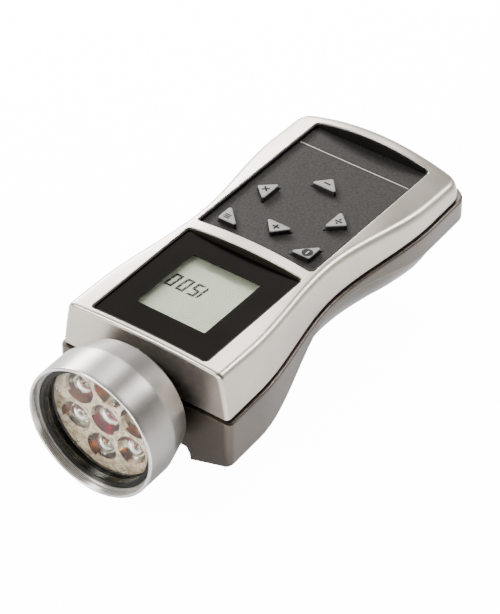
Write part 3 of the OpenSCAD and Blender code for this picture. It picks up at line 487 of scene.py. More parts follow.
# closed tub from an outer and an inner skin that meet at the rim
def tub(outer, inner):
    n, m = len(outer), len(outer[0])
    s = n * m
    points = [p for row in outer for p in row] + [p for row in inner for p in row]
    faces = []
    for base, flip in ((0, False), (s, True)):
        for i in range(n - 1):
            for j in range(m - 1):
                a = base + i * m + j
                quad = (a, a + m, a + m + 1, a + 1)
                faces.append(quad[::-1] if flip else quad)
        first = tuple(base + j for j in range(m))
        last = tuple(base + (n - 1) * m + j for j in range(m - 1, -1, -1))
        faces += [first[::-1], last[::-1]] if flip else [first, last]
    for i in range(n - 1):
        a, b = i * m, (i + 1) * m
        faces.append((a, s + a, s + b, b))
        faces.append((a + m - 1, b + m - 1, s + b + m - 1, s + a + m - 1))
    z = (n - 1) * m
    faces.append((0, m - 1, s + m - 1, s))
    faces.append((z, s + z, s + z + m - 1, z + m - 1))
    return points, faces


# silver upper shell
upper = {
    "wall": 2.2, "crestR": 3.0, "frontEdge": 1.6, "tailEdge": 4.5, "frontCorner": 2.0, "tailCorner": 7.0,
    "swell": 0.15, "flankSteps": 6, "filletSteps": 9, "deckSteps": 18, "lipRound": 0.45,
    "openings": ((26.7, -59.7, 1.0), (27.0, 6.1, 86.3)), "openingR": 2.0, "rows": 90, "reach": 7.0,
    "frontShrink": 0.4, "tailShrink": 0.8, "crestShrink": 0.4, "lipSteps": 6, "lipTurn": 15,
}


def upperHalf(y, gaps, pinch, inset):
    drop = (roundIn(gaps[0], upper["frontEdge"] - inset * upper["frontShrink"])
            + roundIn(gaps[1], upper["tailEdge"] - inset * upper["tailShrink"]))
    low = waisted(y, form["seamHalf"]) - inset - pinch
    high = waisted(y, form["crestHalf"]) - inset - pinch
    r = upper["crestR"] - inset * upper["crestShrink"]
    base = seamAt(y)
    top = deckAt(high, y) - inset - drop - r
    half = []
    for i in range(upper["flankSteps"]):
        t = i / upper["flankSteps"]
        half.append((mix(low, high, t) + upper["swell"] * 4 * t * (1 - t), y, mix(base, top, t)))
    for i in range(upper["filletSteps"] + 1):
        a = pi / 2 * i / upper["filletSteps"]
        x = high - r + r * cos(a)
        half.append((x, y, deckAt(x, y) - inset - drop - r * (1 - sin(a))))
    for i in range(upper["deckSteps"] - 1, -1, -1):
        x = (high - r) * i / upper["deckSteps"]
        half.append((x, y, deckAt(x, y) - inset - drop))
    return half


# rectangle with rounded corners and points along its sides
def roundedLoop(half, y0, y1, r, cornerSteps=8, sideSteps=14):
    corners = [(half - r, y1 - r), (r - half, y1 - r), (r - half, y0 + r), (half - r, y0 + r)]
    arcs = []
    for k, (cx, cy) in enumerate(corners):
        turns = [radians(90 * k + 90 * i / cornerSteps) for i in range(cornerSteps + 1)]
        arcs.append([(cx + r * cos(a), cy + r * sin(a)) for a in turns])
    loop = []
    for arc, after in zip(arcs, arcs[1:] + arcs[:1]):
        steps = [i / sideSteps for i in range(1, sideSteps)]
        loop += arc + [(mix(arc[-1][0], after[0][0], t), mix(arc[-1][1], after[0][1], t)) for t in steps]
    return loop


# tool that cuts an opening and rounds its upper edge along the arched deck
def openingTool(half, y0, y1):
    def flat(grow):
        return roundedLoop(half + grow, y0 - grow, y1 + grow, upper["openingR"] + grow)

    loops = [laid(flat(0.0), -upper["reach"])]
    for i in range(upper["lipSteps"]):
        a = radians(upper["lipTurn"] * i)
        grow, depth = [upper["lipRound"] * (1 - share) for share in (cos(a), sin(a))]
        loops.append([onDeck(x, y, crownAt(y) * (1 - (x / form["crownHalf"]) ** 2) - depth) for x, y in flat(grow)])
    loops.append(laid(flat(grow), upper["reach"]))
    return bridge(loops)


def neckTool():
    front, back = form["neckY"]
    return rod((0, front, lampZ), (0, back, lampZ), form["neckR"], form["neckSteps"])


upperSkins = [grid(upperHalf, upper, form["upperEnds"], inset) for inset in (0.0, upper["wall"])]
upperShell = makePiece("upperShell", tub(*upperSkins), ["silver"])
for opening in upper["openings"]:
    carve(upperShell, openingTool(*opening))
carve(upperShell, neckTool())
smoothen(upperShell, form["sharp"], True)
settle(upperShell, "upper_shell")
print("upper shell", len(upperShell.data.polygons))

# grey lower shell with front lobes, waist and belly
lower = {
    "wall": 2.4, "lip": 1.4, "skirt": (21.9, 4.0, 10.3), "skirtFrontRun": 54.0, "skirtTailRun": 43.0,
    "skirtLevel": 9.0, "skirtShift": 3.0, "noseY": -25.5, "noseLen": 10.0, "footY": 45.3, "footLen": 18.0,
    "footStep": 3.0, "tailRise": 18.0, "coverLift": 0.8, "bellyFront": 9.0, "lobeBlendY": -44.5,
    "lobeBlendLen": 40.0, "lobeDrop": 4.4, "lobeInner": 22.5, "lobeWallRun": 3.0, "lobeEdge": 2.2, "lobeRise": 0.9,
    "keelHalf": 8.0, "tailKeelHalf": 30.0, "edge": 1.2, "hullStep": 0.4, "sidePower": 1.5, "dropPower": 1.15,
    "rimDraft": 0.2, "frontCorner": 3.2, "tailCorner": 7.0, "hullSteps": 22, "rows": 110,
    "coverHalf": 16.0, "coverY": (-26.0, 45.0), "coverTop": 8.2, "coverLow": -2.0, "fit": 0.2,
    "insertY": 55.2, "insertZ": (-2.0, 9.0), "insertR": 4.5, "socketX": 12.0, "socketY": (90.0, 97.0),
    "socketZ": 32.236, "socketR": 2.8, "screwAt": ((32.0, -53.0), (32.1, 81.3)), "screwLow": -3.0,
    "screwSeat": 3.0, "screwR": 2.4, "lobePinch": 0.3, "noseInset": 0.6, "edgeShare": 0.3, "rimShare": 0.8,
    "innerRim": ((0.8, 0.0), (0.25, 0.3)), "edgeSteps": 5, "wallSteps": 4, "keelSteps": 4,
}


def skirtAt(y):
    front, waist, tail = lower["skirt"]
    if y < form["waist"]:
        return mix(waist, front, ease((form["waist"] - lower["skirtShift"] - y) / lower["skirtFrontRun"]))
    return mix(waist, tail, ease((y - form["waist"] - lower["skirtLevel"]) / lower["skirtTailRun"]))


def keelAt(y):
    if y < lower["footY"]:
        return mix(lower["bellyFront"], lower["coverLift"], ease((y - lower["noseY"]) / lower["noseLen"]))
    if y < lower["footY"] + lower["footLen"]:
        return mix(lower["coverLift"], 0.0, ease((y - lower["footY"]) / lower["footStep"]))
    tailFloor = seamAt(y) - form["gasket"] - lower["skirt"][2]
    return mix(0.0, tailFloor, ease((y - lower["footY"] - lower["footLen"]) / lower["tailRise"]))


def lowerHalf(y, gaps, pinch, inset):
    wide = waisted(y, form["seamHalf"]) + lower["lip"] - inset - pinch
    rim = seamAt(y) - form["gasket"]
    low = rim - skirtAt(y) + inset + roundIn(gaps[0], lower["lobeRise"])
    g = ease((y - lower["lobeBlendY"]) / lower["lobeBlendLen"])
    startX = mix(lower["lobeInner"] + inset - pinch * lower["lobePinch"], wide - lower["edge"] - lower["hullStep"], g)
    startZ = low - lower["lobeDrop"] * (1 - g)
    noseHalf = lower["lobeInner"] - lower["lobeWallRun"] + inset * lower["noseInset"]
    bellyHalf = mix(noseHalf, lower["keelHalf"], ease((y - lower["noseY"]) / lower["noseLen"]))
    keelX = mix(bellyHalf, lower["tailKeelHalf"],
                ease((y - lower["footY"] - lower["footLen"]) / lower["tailRise"]))
    keel = keelAt(y) + inset
    edge = min(lower["edge"], (skirtAt(y) - inset) * lower["edgeShare"])
    foot = mix(lower["lobeEdge"], edge, g)
    half = []
    if inset > 0:
        half += [(wide + lower["rimDraft"] * out, y, rim - edge * down) for out, down in lower["innerRim"]]
    else:
        for i in range(lower["edgeSteps"]):
            a = pi / 2 * i / lower["edgeSteps"]
            half.append((wide - edge * (1 - sin(a)) * lower["rimShare"], y, rim - edge * (1 - cos(a))))
    half.append((wide, y, rim - edge))
    for i in range(1, lower["wallSteps"]):
        half.append((wide, y, mix(rim - edge, low + foot, i / lower["wallSteps"])))
    for i in range(lower["edgeSteps"] + 1):
        a = pi / 2 * i / lower["edgeSteps"]
        half.append((wide - foot * (1 - cos(a)), y, low + foot * (1 - sin(a))))
    for i in range(lower["hullSteps"] + 1):
        a = pi / 2 * i / lower["hullSteps"]
        side, down = max(0.0, cos(a)) ** lower["sidePower"], sin(a) ** lower["dropPower"]
        half.append((keelX + (startX - keelX) * side, y, startZ + (keel - startZ) * down))
    for i in range(lower["keelSteps"] - 1, -1, -1):
        half.append((keelX * i / lower["keelSteps"], y, keel))
    return half


def coverBox(grow, top):
    y0, y1 = lower["coverY"]
    h = lower["coverHalf"] + grow
    return block((-h, y0 - grow, lower["coverLow"]), (h, y1 + grow, top))


def lowerTub():
    outer, inner = [grid(lowerHalf, lower, form["lowerEnds"], inset) for inset in (0.0, lower["wall"])]
    spare = (len(outer[0]) - len(inner[0])) // 2
    inner = [[row[0]] * spare + row + [row[-1]] * spare for row in inner]
    return tub(outer, inner)


lowerShell = makePiece("lowerShell", lowerTub(), ["grey"])
carve(lowerShell, coverBox(lower["fit"], lower["coverTop"] + lower["fit"]))
carve(lowerShell, neckTool())
insertEnds = [(0, lower["insertY"], z) for z in lower["insertZ"]]
socketEnds = [(lower["socketX"], y, lower["socketZ"]) for y in lower["socketY"]]
carve(lowerShell, rod(*insertEnds, lower["insertR"]))
carve(lowerShell, rod(*socketEnds, lower["socketR"]))
for sx in (-1, 1):
    for x, y in lower["screwAt"]:
        seat = seamAt(y) - form["gasket"] - skirtAt(y) + lower["screwSeat"]
        carve(lowerShell, rod((sx * x, y, lower["screwLow"]), (sx * x, y, seat), lower["screwR"]))
smoothen(lowerShell, form["sharp"], True)
settle(lowerShell, "lower_shell")
print("lower shell", len(lowerShell.data.polygons))

# sliding battery cover with hooks inside and finger ridges outside
cover = {"hookY": (-4.0, 31.0), "hookLen": 8.0, "hookT": 1.2, "hookLip": 1.8, "rise": 3.2, "root": 2.0,
         "ridges": 4, "ridgeY": 31.0, "ridgeStep": 2.4, "ridgeHalf": 6.4, "ridgeH": 0.4, "ridgeT": 0.5,
         "ridgeShape": ((0.0, 0.5), (0.15, 0.12), (0.4, 0.0), (0.8, 0.0), (1.05, 0.12), (1.2, 0.5))}
batteryCover = makePiece("batteryCover", lowerTub(), ["grey"])
carve(batteryCover, coverBox(0.0, lower["coverTop"]), "INTERSECT")
coverParts = []
hookRoot = lower["coverTop"] - cover["root"]
hookTop = lower["coverTop"] + cover["rise"]
hookNeck = hookTop - cover["hookT"]
for sx in (-1, 1):
    edge = sx * lower["coverHalf"]
    inside, outside = edge - sx * cover["hookT"], edge + sx * cover["hookLip"]
    for y in cover["hookY"]:
        for end, z0, z1 in ((edge, hookRoot, hookNeck), (outside, hookNeck, hookTop)):
            coverParts.append(block((min(inside, end), y, z0), (max(inside, end), y + cover["hookLen"], z1)))
ridgeLow = lower["coverLift"] - cover["ridgeH"]
for i in range(cover["ridges"]):
    y = cover["ridgeY"] + i * cover["ridgeStep"]
    coverParts.append(bridge([[(sx * cover["ridgeHalf"], y + dy, ridgeLow + dz + lift)
                               for sx, lift in ((-1, 0.0), (1, 0.0), (1, cover["ridgeT"]), (-1, cover["ridgeT"]))]
                              for dy, dz in cover["ridgeShape"]]))
makePiece("batteryCoverTrim", joined(coverParts), ["grey"], "grey_shell", body="battery_cover")
smoothen(batteryCover, form["sharp"], True)
settle(batteryCover, "battery_cover", "battery_cover")
print("battery cover", len(batteryCover.data.polygons))

# turned lamp head with a rounded lip, its pale tone a painted highlight
lamp = {"r": 28.3, "lipIn": 26.9, "lipDepth": 3.5, "lipSteps": 8, "lipFall": 0.1, "lipKnee": 2.1, "bore": 26.0,
        "straight": 14.5, "rearR": 25.4, "len": 25.5, "back": 3.0, "wireR": 4.0, "rearBore": 23.1, "rearDepth": 19.5,
        "chamfer": 0.8, "chamferMid": (0.25, 0.2), "cone": (0.03, 0.3, 0.6, 0.9, 0.96), "rows": (14.1, 8.7, 2.0),
        "steps": 160, "sharp": 24.0}
lipR = (lamp["r"] - lamp["lipIn"]) / 2
rearWall, coneEnd = lamp["len"] - lamp["back"], lamp["len"] - lamp["chamfer"]
lampProfile = [(lamp["wireR"], rearWall), (lamp["wireR"], lamp["len"]), (lamp["rearR"] - lamp["chamfer"], lamp["len"]),
               (lamp["rearR"] - lamp["chamferMid"][0], lamp["len"] - lamp["chamferMid"][1]), (lamp["rearR"], coneEnd)]
lampProfile += [(mix(lamp["rearR"], lamp["r"], t), mix(coneEnd, lamp["straight"], t)) for t in lamp["cone"]]
lampProfile += [(lamp["r"], depth) for depth in lamp["rows"]]
lipFirst = len(lampProfile)
for i in range(lamp["lipSteps"] + 1):
    a = pi * i / lamp["lipSteps"]
    lampProfile.append((lamp["r"] - lipR + lipR * cos(a), lipR - lipR * sin(a)))
lampProfile.append((lamp["lipIn"] - lamp["lipFall"], lamp["lipKnee"]))
lipLast = len(lampProfile)
lampProfile += [(lamp["lipIn"] - 2 * lamp["lipFall"], lamp["lipDepth"]), (lamp["bore"], lamp["lipDepth"]),
                (lamp["bore"], lamp["straight"]), (lamp["rearBore"], lamp["rearDepth"]), (lamp["rearBore"], rearWall)]
lampLooks = [int(lipFirst <= k < lipLast) for k in range(len(lampProfile)) for i in range(lamp["steps"])]
makePiece("lampHousing", turned(lampProfile, lamp["steps"]), ["lamp", "lip"], "lamp_metal", "lamp_housing",
          faceLook=lampLooks, sharp=lamp["sharp"])

# black retaining ring with grooves; its inner lands are paler as a painted highlight
ring = {"out": 25.8, "in": 23.8, "front": 3.5, "len": 5.0, "grooves": 3, "depth": 0.7, "seatR": 24.8, "seatLen": 2.4,
        "chamfer": 0.3, "draft": 0.1, "landShare": 0.5, "steps": 128}
ringBack = ring["front"] + ring["len"]
ringProfile = [(ring["out"], ringBack), (ring["out"], ring["front"]),
               (ring["in"] + ring["chamfer"], ring["front"]), (ring["in"], ring["front"] + ring["chamfer"])]
pitch = (ring["len"] - ring["seatLen"]) / (ring["grooves"] + ring["landShare"])
grooveR = ring["in"] + ring["depth"]
for i in range(ring["grooves"]):
    start = ring["front"] + (i + ring["landShare"]) * pitch
    end = start + pitch * ring["landShare"]
    ringProfile += [(ring["in"], start), (grooveR, start + ring["draft"]), (grooveR, end - ring["draft"]),
                    (ring["in"], end)]
seatDepth = ringBack - ring["seatLen"]
ringProfile += [(ring["in"], seatDepth), (ring["seatR"], seatDepth), (ring["seatR"], ringBack)]
radii = [radius for radius, depth in ringProfile]
ringLooks = [int(a == ring["in"] == b) for a, b in zip(radii, radii[1:] + radii[:1]) for i in range(ring["steps"])]
makePiece("retainingRing", turned(ringProfile, ring["steps"]), ["anodised", "landHighlight"], "black_plastic",
          "retaining_ring", faceLook=ringLooks)

# clear cover disc with a chamfered edge
disc = {"r": 24.6, "front": 6.1, "t": 1.6, "chamfer": 0.3, "steps": 96}
discBack = disc["front"] + disc["t"]
discProfile = [(disc["r"] - disc["chamfer"], disc["front"]), (disc["r"], disc["front"] + disc["chamfer"]),
               (disc["r"], discBack - disc["chamfer"]), (disc["r"] - disc["chamfer"], discBack)]
makePiece("coverDisc", bridge(turnedLoops(discProfile, disc["steps"])), ["clear"], "clear_disc", "cover_disc")

# lens plate with seven reflector dishes, a dome in each and small pips between
lens = {"front": 8.5, "t": 1.5, "r": 25.8, "dishR": 6.6, "rootR": 2.7, "dishDepth": 5.0, "dishPower": 1.6, "rings": 6,
        "circle": 15.0, "turn": 38.0, "domeR": 4.4, "domeRise": 1.9, "domeAt": 2.2, "domeFoot": 0.8, "tail": 10.6,
        "steps": 30, "plateSteps": 96, "domeSteps": 36, "pipSteps": 16, "core": 0.01, "spare": 2.0,
        "pips": ((21.6, 0.9), (23.0, 0.6), (8.6, 0.7)),
        "around": 6, "wall": 0.5, "overlap": 0.2, "domeRows": 8, "pipRise": 0.9, "pipRows": 4, "pipFoot": 0.3}
# painted reflections in each dish: from and to in degrees, 1 red and 2 amber
paintedReflectionFields = [
    [(195, 305, 1)], [(100, 165, 1), (200, 255, 2)], [(150, 235, 2)], [(160, 200, 2)],
    [(215, 300, 2), (300, 345, 1)], [(175, 250, 2), (290, 345, 1)], [(90, 175, 1), (230, 320, 2)],
]
front, back = lens["front"], lens["front"] + lens["t"]
lensTurn = 360 // lens["around"]


def aroundLens(reach, turn):
    a = radians(-lens["turn"] - turn)
    return (reach * cos(a), reach * sin(a))


def cap(radius, rise, base, steps, foot):
    ball = (radius * radius + rise * rise) / (2 * rise)
    turns = [asin(radius / ball) * i / steps for i in range(steps + 1)]
    curve = [(ball * sin(a) + lens["core"], base + ball - rise - ball * cos(a)) for a in turns]
    return curve + [(radius, base + foot), (lens["core"], base + foot)]


lensPlaces = [(0.0, 0.0)] + [aroundLens(lens["circle"], lensTurn * i) for i in range(lens["around"])]
plateProfile = [(lens["core"], front), (lens["r"], front), (lens["r"], back), (lens["core"], back)]
lensPlate = makePiece("lensPlate", turned(plateProfile, lens["plateSteps"]), ["plate"])
for cx, cz in lensPlaces:
    ends = [(cx, lampFaceY + depth, lampZ + cz) for depth in (front - lens["spare"], back + lens["spare"])]
    carve(lensPlate, rod(*ends, lens["dishR"]))
smoothen(lensPlate)
settle(lensPlate, "lens_array")

dishProfile = [(mix(lens["dishR"], lens["rootR"], i / lens["rings"]),
                front + lens["dishDepth"] * (1 - (1 - i / lens["rings"]) ** lens["dishPower"]))
               for i in range(lens["rings"] + 1)]
dishProfile += [(lens["rootR"], front + lens["tail"]), (lens["rootR"] + lens["wall"], front + lens["tail"]),
                (lens["dishR"] + lens["overlap"], back)]
dome = cap(lens["domeR"], lens["domeRise"], front + lens["domeAt"], lens["domeRows"], lens["domeFoot"])
dishParts, domeParts, dishLooks = [], [], []
for place, paintedFields in zip(lensPlaces, paintedReflectionFields):
    dishParts.append(turned(dishProfile, lens["steps"], place))
    for k in range(len(dishProfile) * lens["steps"]):
        angle = (k % lens["steps"] + 0.5) * 360 / lens["steps"]
        look = max([look for low, high, look in paintedFields if low < angle < high] or [0])
        dishLooks.append(3 if k < lens["steps"] and look == 0 else look)
    domeParts.append(turned(dome, lens["domeSteps"], place))
for i in range(lens["around"]):
    for reach, size in lens["pips"]:
        pip = cap(size, size * lens["pipRise"], front, lens["pipRows"], lens["pipFoot"])
        domeParts.append(turned(pip, lens["pipSteps"], aroundLens(reach, lensTurn // 2 + lensTurn * i)))
# the reflector dishes carry the painted reflections
makePiece("lensReflectors", joined(dishParts), ["dish", "dishPaintedRedReflection", "dishPaintedAmberReflection", "plate"], "lens_plastic",
          faceLook=dishLooks)
makePiece("lensDomes", joined(domeParts), ["dome"], "lens_plastic")
print("lamp")


# thin flat shape along the deck, between two levels
def deckSlab(shape, low, high):
    return bridge([laid(shape, w) for w in (low, high)])


# display window: a smoked border with softened edges round a clear pane
window = {"half": 25.9, "y": (-58.9, 0.2), "r": 1.6, "top": -0.9, "low": -2.4, "soft": 0.25, "viewHalf": 15.6,
          "viewY": (-45.8, -11.0), "viewR": 0.6, "gap": 0.03, "pane": 0.2, "slack": 2.2,
          "softMid": 0.3, "rim": 0.1}


def windowShape(inset):
    y0, y1 = window["y"]
    return roundedLoop(window["half"] - inset, y0 + inset, y1 - inset, window["r"] - inset)


def viewShape(inset):
    y0, y1 = window["viewY"]
    return roundedLoop(window["viewHalf"] - inset, y0 + inset, y1 - inset, window["viewR"])


soft, top, low, rim = window["soft"], window["top"], window["low"], window["rim"]
knee, paneLow = soft * window["softMid"], top - window["pane"]
windowRows = [(viewShape(-window["slack"]), low), (windowShape(0.0), low), (windowShape(0.0), top - soft),
              (windowShape(knee), top - knee), (windowShape(soft), top), (windowShape(soft + rim), top),
              (viewShape(-rim), top), (viewShape(0.0), top), (viewShape(0.0), paneLow)]
windowLoops = [laid(shape, w) for shape, w in windowRows]
makePiece("displayWindow", bridge(windowLoops + windowLoops[:1], False), ["smoke"], "smoked_window", "display_window")
makePiece("displayPane", deckSlab(viewShape(window["gap"]), paneLow, top), ["window"], "smoked_window")

# slanted seven-segment digits on the display, read from the tail
digits = {"text": "1500", "edgeX": (-0.63, -4.95, -9.95, -15.25), "y": -25.5, "h": 7.9, "w": 3.6, "bar": 1.05,
          "slant": 0.09, "level": -3.0, "t": 0.04, "tip": 0.6, "mitre": (0.5, 0.4)}
segmentPlan = {"0": "abcdef", "1": "bc", "5": "acdfg"}


# mitred bars; v runs up the digit and u across it
def segmentShape(which):
    w, h, bar, mid = digits["w"], digits["h"], digits["bar"], digits["h"] / 2
    if which == "g":
        c, tip = bar / 2, bar / 2 * digits["tip"]
        return [(tip, mid), (bar, mid - c), (w - bar, mid - c), (w - tip, mid), (w - bar, mid + c), (bar, mid + c)]
    if which in "ad":
        shape = [(0.0, 0.0), (w, 0.0), (w - bar, bar), (bar, bar)]
        return shape if which == "d" else [(u, h - v) for u, v in reversed(shape)]
    down, across = digits["mitre"]
    shape = [(0.0, 0.0), (bar, bar), (bar, mid - bar * down), (bar * across, mid), (0.0, mid)]
    if which in "bf":
        shape = [(u, h - v) for u, v in reversed(shape)]
    return shape if which in "ef" else [(w - u, v) for u, v in reversed(shape)]


digitParts = []
for sign, edgeX in zip(digits["text"], digits["edgeX"]):
    for which in segmentPlan[sign]:
        shape = [(edgeX + digits["w"] - u - digits["slant"] * v, digits["y"] + digits["h"] / 2 - v)
                 for u, v in segmentShape(which)]
        digitParts.append(deckSlab(shape, digits["level"], digits["level"] + digits["t"]))
makePiece("displayDigits", joined(digitParts), ["segment"], "lcd")

# pale line across the key panel
line = {"half": 26.1, "y": 73.5, "w": 0.45, "r": 0.2, "level": -1.8, "t": 0.03}
lineShape = roundedLoop(line["half"], line["y"] - line["w"] / 2, line["y"] + line["w"] / 2, line["r"], 3, 4)
makePiece("panelLine", deckSlab(lineShape, line["level"], line["level"] + line["t"]), ["paleInk"], "key_plastic")
print("display")

# keys: rounded triangles with a soft top edge, on a flange under the panel; walls and flange painted dark as painted
# shade
keyForm = {"mid": (0.0, 37.8), "baseAt": 14.4, "base": 12.0, "height": 6.8, "cornerX": 21.4, "cornerY": 12.2,
           "leg": 9.0, "top": 0.3, "flangeTop": -3.1, "flangeT": 1.0, "flange": 1.0, "round": 0.7, "soft": 0.35,
           "markT": 0.05, "sink": 0.02, "barT": 0.03, "barSize": (0.28, 1.1), "sharp": 40.0,
           "edgeShape": ((0.0, 1.0), (0.1, 0.55), (0.35, 0.2), (0.7, 0.05), (1.0, 0.0))}
# bars: offset across, half length, half width, turn in degrees; dots: offset across, radius, steps
keyBars = {
    "key_plus": [(0, 1.6, 0.42, 0), (0, 0.42, 1.6, 0)], "key_minus": [(0, 1.5, 0.42, 0)],
    "key_times": [(0, 1.6, 0.4, 45), (0, 1.6, 0.4, -45)], "key_divide": [(0, 1.6, 0.38, 0)],
    "key_mode": [(-0.95, 1.35, 0.28, 0), (0, 1.35, 0.28, 0), (0.95, 1.35, 0.28, 0)], "key_power": [],
}
keyDots = {"key_divide": [(1.25, 0.52, 24), (-1.25, 0.52, 24)], "key_power": [(0, 2.25, 40)]}


def arrowKey(dx, dy):
    mx, my = keyForm["mid"]
    bx, by = mx + dx * keyForm["baseAt"], my + dy * keyForm["baseAt"]
    h = keyForm["base"] / 2
    return [(bx + dy * h, by - dx * h), (bx - dy * h, by + dx * h),
            (bx + dx * keyForm["height"], by + dy * keyForm["height"])]


def cornerKey(s):
    c = (s * keyForm["cornerX"], keyForm["cornerY"])
    return [c, (c[0], c[1] + keyForm["leg"]), (c[0] - s * keyForm["leg"], c[1])]


# twice the signed area
def winding(tri):
    (ax, ay), (bx, by), (cx, cy) = tri
    return (bx - ax) * (cy - ay) - (cx - ax) * (by - ay)


def incentre(tri):
    sides = [dist(tri[(i + 1) % 3], tri[(i + 2) % 3]) for i in range(3)]
    total = sum(sides)
    return tuple(sum(s * p[k] for s, p in zip(sides, tri)) / total for k in (0, 1)), abs(winding(tri)) / total


def triangleLoop(tri, grow, r, steps=6):
    (cx, cy), inr = incentre(tri)
    k = (inr + grow) / inr
    pts = [(cx + k * (x - cx), cy + k * (y - cy)) for x, y in tri]
    if winding(pts) < 0:
        pts.reverse()
    small = (inr + grow - r) / (inr + grow)
    centres = [(cx + small * (x - cx), cy + small * (y - cy)) for x, y in pts]
    loop = []
    for i in range(3):
        before, here, after = pts[i - 1], pts[i], pts[(i + 1) % 3]
        a0 = atan2(here[1] - before[1], here[0] - before[0]) - pi / 2
        a1 = atan2(after[1] - here[1], after[0] - here[0]) - pi / 2
        while a1 < a0:
            a1 += 2 * pi
        for j in range(steps + 1):
            a = mix(a0, a1, j / steps)
            loop.append((centres[i][0] + r * cos(a), centres[i][1] + r * sin(a)))
    return loop


def bar(centre, along, across, turn):
    c, s = cos(turn), sin(turn)
    return [(centre[0] + u * c - v * s, centre[1] + u * s + v * c)
            for u, v in ((-along, -across), (along, -across), (along, across), (-along, across))]


def keyMarks(kind, c):
    bars = [bar((c[0], c[1] + d), along, across, radians(turn)) for d, along, across, turn in keyBars[kind]]
    return bars + [circle((c[0], c[1] + d), r, steps) for d, r, steps in keyDots.get(kind, [])]


keyShapes = {
    "key_plus": arrowKey(0, -1), "key_minus": arrowKey(0, 1), "key_times": arrowKey(-1, 0),
    "key_divide": arrowKey(1, 0), "key_mode": cornerKey(-1), "key_power": cornerKey(1),
}
top, soft, sink = keyForm["top"], keyForm["soft"], keyForm["sink"]
markTop = top + keyForm["markT"]
keySteps = [(keyForm["flange"], keyForm["flangeTop"] - keyForm["flangeT"]), (keyForm["flange"], keyForm["flangeTop"]),
            (0.0, keyForm["flangeTop"])]
keySteps += [(-soft * inward, top - soft * down) for inward, down in keyForm["edgeShape"]]
for keyName, tri in keyShapes.items():
    loops = [laid(triangleLoop(tri, grow, keyForm["round"]), w) for grow, w in keySteps]
    count = len(loops[0])
    # walls and flange take the painted shade; the soft edge and the top take the pale key top
    looks = [int(i < count * 3) for i in range(count * (len(loops) - 1))] + [1, 0]
    makePiece(keyName + "_cap", bridge(loops), ["keyTop", "keyShadedSide"], "key_plastic", keyName, keyName, looks,
              keyForm["sharp"])
    centre, inr = incentre(tri)
    marks = [deckSlab(shape, top - sink, markTop) for shape in keyMarks(keyName, centre)]
    makePiece(keyName + "_mark", joined(marks), ["ink"], "black_plastic", body=keyName)
    if keyName == "key_power":
        light = deckSlab(bar(centre, *keyForm["barSize"], 0), markTop - sink, markTop + keyForm["barT"])
        makePiece("key_power_bar", light, ["paleInk"], "key_plastic", body=keyName)
print("keys")

# pale floor; camera rays from below pass through it, so the underside can be seen
# the floor's glow to glossy rays is painted light: a painted reflection with a painted shadow under the lamp and a
# painted glint spot
floor = {"size": 6.0, "z": -0.0005, "lift": 14.0, "paintedShine": 1.25, "paintedShadowAt": (-0.015, -0.08, 0.0),
         "paintedShadowFade": [(0.0, 0.08), (0.08, 1.0), (0.22, 1.0), (0.7, 0.45)],
         "paintedGlint": 1.6, "paintedGlintAt": (0.085, -0.1, 0.0), "paintedGlintReach": 0.055}
half = floor["size"] / 2
floorMesh = bpy.data.meshes.new("floor")
floorMesh.from_pydata([(x * half, y * half, floor["z"]) for x, y in ((-1, -1), (1, -1), (1, 1), (-1, 1))], [],
                      [(0, 1, 2, 3)])
floorPiece = addObject("floor", floorMesh)
floorMat = moulded("floorPaper", ((238, 238, 238), (242, 242, 242)), (0.8, 0.9), 300.0, 0.02,
                   glow=(1.0, 1.0, 1.0, 1.0))
floorMesh.materials.append(floorMat)
tree = floorMat.node_tree
bsdf = tree.nodes["Principled BSDF"]


def mathNode(operation, *values):
    node = addNode(tree, "Math", operation=operation)
    for socket, value in zip(node.inputs, values):
        if isinstance(value, float):
            socket.default_value = value
        else:
            tree.links.new(value, socket)
    return node.outputs["Value"]


def distanceTo(point):
    node = addNode(tree, "VectorMath", operation="DISTANCE")
    node.inputs[1].default_value = point
    link(tree, (where, "Object", node, 0))
    return node.outputs["Value"]


# bright to camera rays as an even backdrop; to glossy rays it glows as a painted reflection, with a painted shadow
# near the lamp, dimmer far off, and one painted glint that puts a highlight on the front corner
where = addNode(tree, "TexCoord")
seen = addNode(tree, "LightPath")
side = addNode(tree, "NewGeometry")
paintedShadowRamp = ramp(tree, [(at, (level, level, level, 1.0)) for at, level in floor["paintedShadowFade"]])
paintedGlintBell = addNode(tree, "MapRange", interpolation_type="SMOOTHSTEP",
               **{"From Max": floor["paintedGlintReach"], "To Min": floor["paintedGlint"], "To Max": 0.0})
link(tree, (distanceTo(floor["paintedShadowAt"]), paintedShadowRamp.inputs["Fac"]), (distanceTo(floor["paintedGlintAt"]), paintedGlintBell.inputs["Value"]))
paintedReflectionLevel = mathNode("ADD", mathNode("MULTIPLY", paintedShadowRamp.outputs["Color"], floor["paintedShine"]), paintedGlintBell.outputs["Result"])
lift = mathNode("MULTIPLY", seen.outputs["Is Camera Ray"], floor["lift"])
glow = mathNode("MULTIPLY_ADD", seen.outputs["Is Glossy Ray"], paintedReflectionLevel, lift)
tree.links.new(glow, bsdf.inputs["Emission Strength"])
below = mathNode("MULTIPLY", side.outputs["Backfacing"], seen.outputs["Is Camera Ray"])
letThrough(tree, bsdf, below, (1.0, 1.0, 1.0, 1.0))

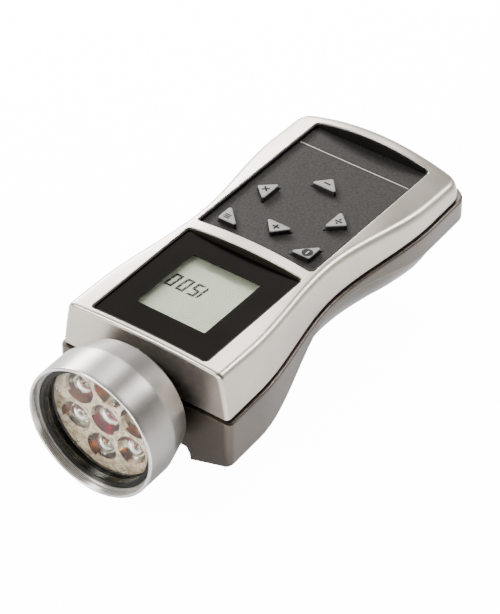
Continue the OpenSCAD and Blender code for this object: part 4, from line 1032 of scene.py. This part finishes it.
# pale room, darker on the viewer's side
room = {"viewer": (0.5, -0.5, 0.7), "strength": 0.5,
        "tones": [(0.0, (1.0, 1.0, 0.99, 1.0)), (0.45, (0.75, 0.745, 0.735, 1.0)), (0.72, (0.25, 0.245, 0.24, 1.0)),
                  (1.0, (0.06, 0.058, 0.055, 1.0))]}
world = bpy.data.worlds.new("studio")
bpy.context.scene.world = world
world.use_nodes = True
sky = world.node_tree
around = addNode(sky, "TexCoord")
facing = addNode(sky, "VectorMath", operation="DOT_PRODUCT")
facing.inputs[1].default_value = room["viewer"]
reach = addNode(sky, "MapRange", **{"From Min": -1.0})
glow = ramp(sky, room["tones"])
link(sky, (around, "Generated", facing, 0), (facing, "Value", reach, "Value"), (reach, "Result", glow, "Fac"),
     (glow.outputs["Color"], sky.nodes["Background"].inputs["Color"]))
sky.nodes["Background"].inputs["Strength"].default_value = room["strength"]

# area lights: place, aim, size, power, and whether diffuse and glossy rays see them
lightTint = (1.0, 0.98, 0.955)
middle, lampEnd = (0.0, 0.0, 0.03), (0.0, -0.09, 0.03)
lights = {
    "leftBox": ((-1.0, 0.6, 0.5), middle, (0.6, 0.3), 25.0, True, True),
    "tailBox": ((-0.1, 0.95, 0.7), middle, (0.25, 0.2), 12.0, True, False),
    "crestCard": ((0.5, 0.75, 0.8), middle, (0.2, 0.35), 7.0, False, True),
    "frontBox": ((-0.55, -0.65, 0.9), (0.0, -0.05, 0.03), (0.3, 0.3), 11.0, True, True),
    "marginCard": ((-0.38, 0.75, 0.97), (0.0, -0.08, 0.03), (0.26, 0.3), 1.8, False, True),
    "lampCard": ((-0.06, 0.18, 0.42), (0.0, -0.085, 0.055), (0.08, 0.14), 0.5, False, True),
    "sideCard": ((0.95, 0.72, 0.16), middle, (0.6, 0.4), 1.0, False, True),
    "deckCard": ((-0.62, 0.9, 0.82), middle, (0.6, 0.5), 2.6, False, True),
    "glintCard": ((-0.3, -1.0, 0.14), lampEnd, (0.3, 0.2), 4.2, False, True),
    "glintSpot": ((0.3, -1.0, 0.14), lampEnd, (0.3, 0.3), 5.0, False, True),
}
for name, (place, aim, size, power, diffuse, glossy) in lights.items():
    data = bpy.data.lights.new(name, "AREA")
    data.shape = "RECTANGLE"
    data.size, data.size_y = size
    data.energy = power
    data.color = lightTint
    lightPiece = addObject(name, data)
    lightPiece.location = place
    lightPiece.rotation_euler = (Vector(aim) - Vector(place)).to_track_quat("-Z", "Y").to_euler()
    lightPiece.visible_camera, lightPiece.visible_diffuse, lightPiece.visible_glossy = False, diffuse, glossy

# camera at the photograph's angle
eye = {"place": (0.5509, -0.7528, 0.8185), "right": (0.8084, 0.5886, 0.0), "up": (-0.3819, 0.5245, 0.7610),
       "back": (0.4479, -0.6152, 0.6488), "lens": 187.95, "sensor": 36.0}
cameraData = bpy.data.cameras.new("camera")
cameraData.lens = eye["lens"]
cameraData.sensor_width = eye["sensor"]
camera = addObject("camera", cameraData)
columns = [eye["right"], eye["up"], eye["back"], eye["place"]]
camera.matrix_world = Matrix([[column[i] for column in columns] for i in range(3)] + [[0, 0, 0, 1]])
bpy.context.scene.camera = camera
print("stage")
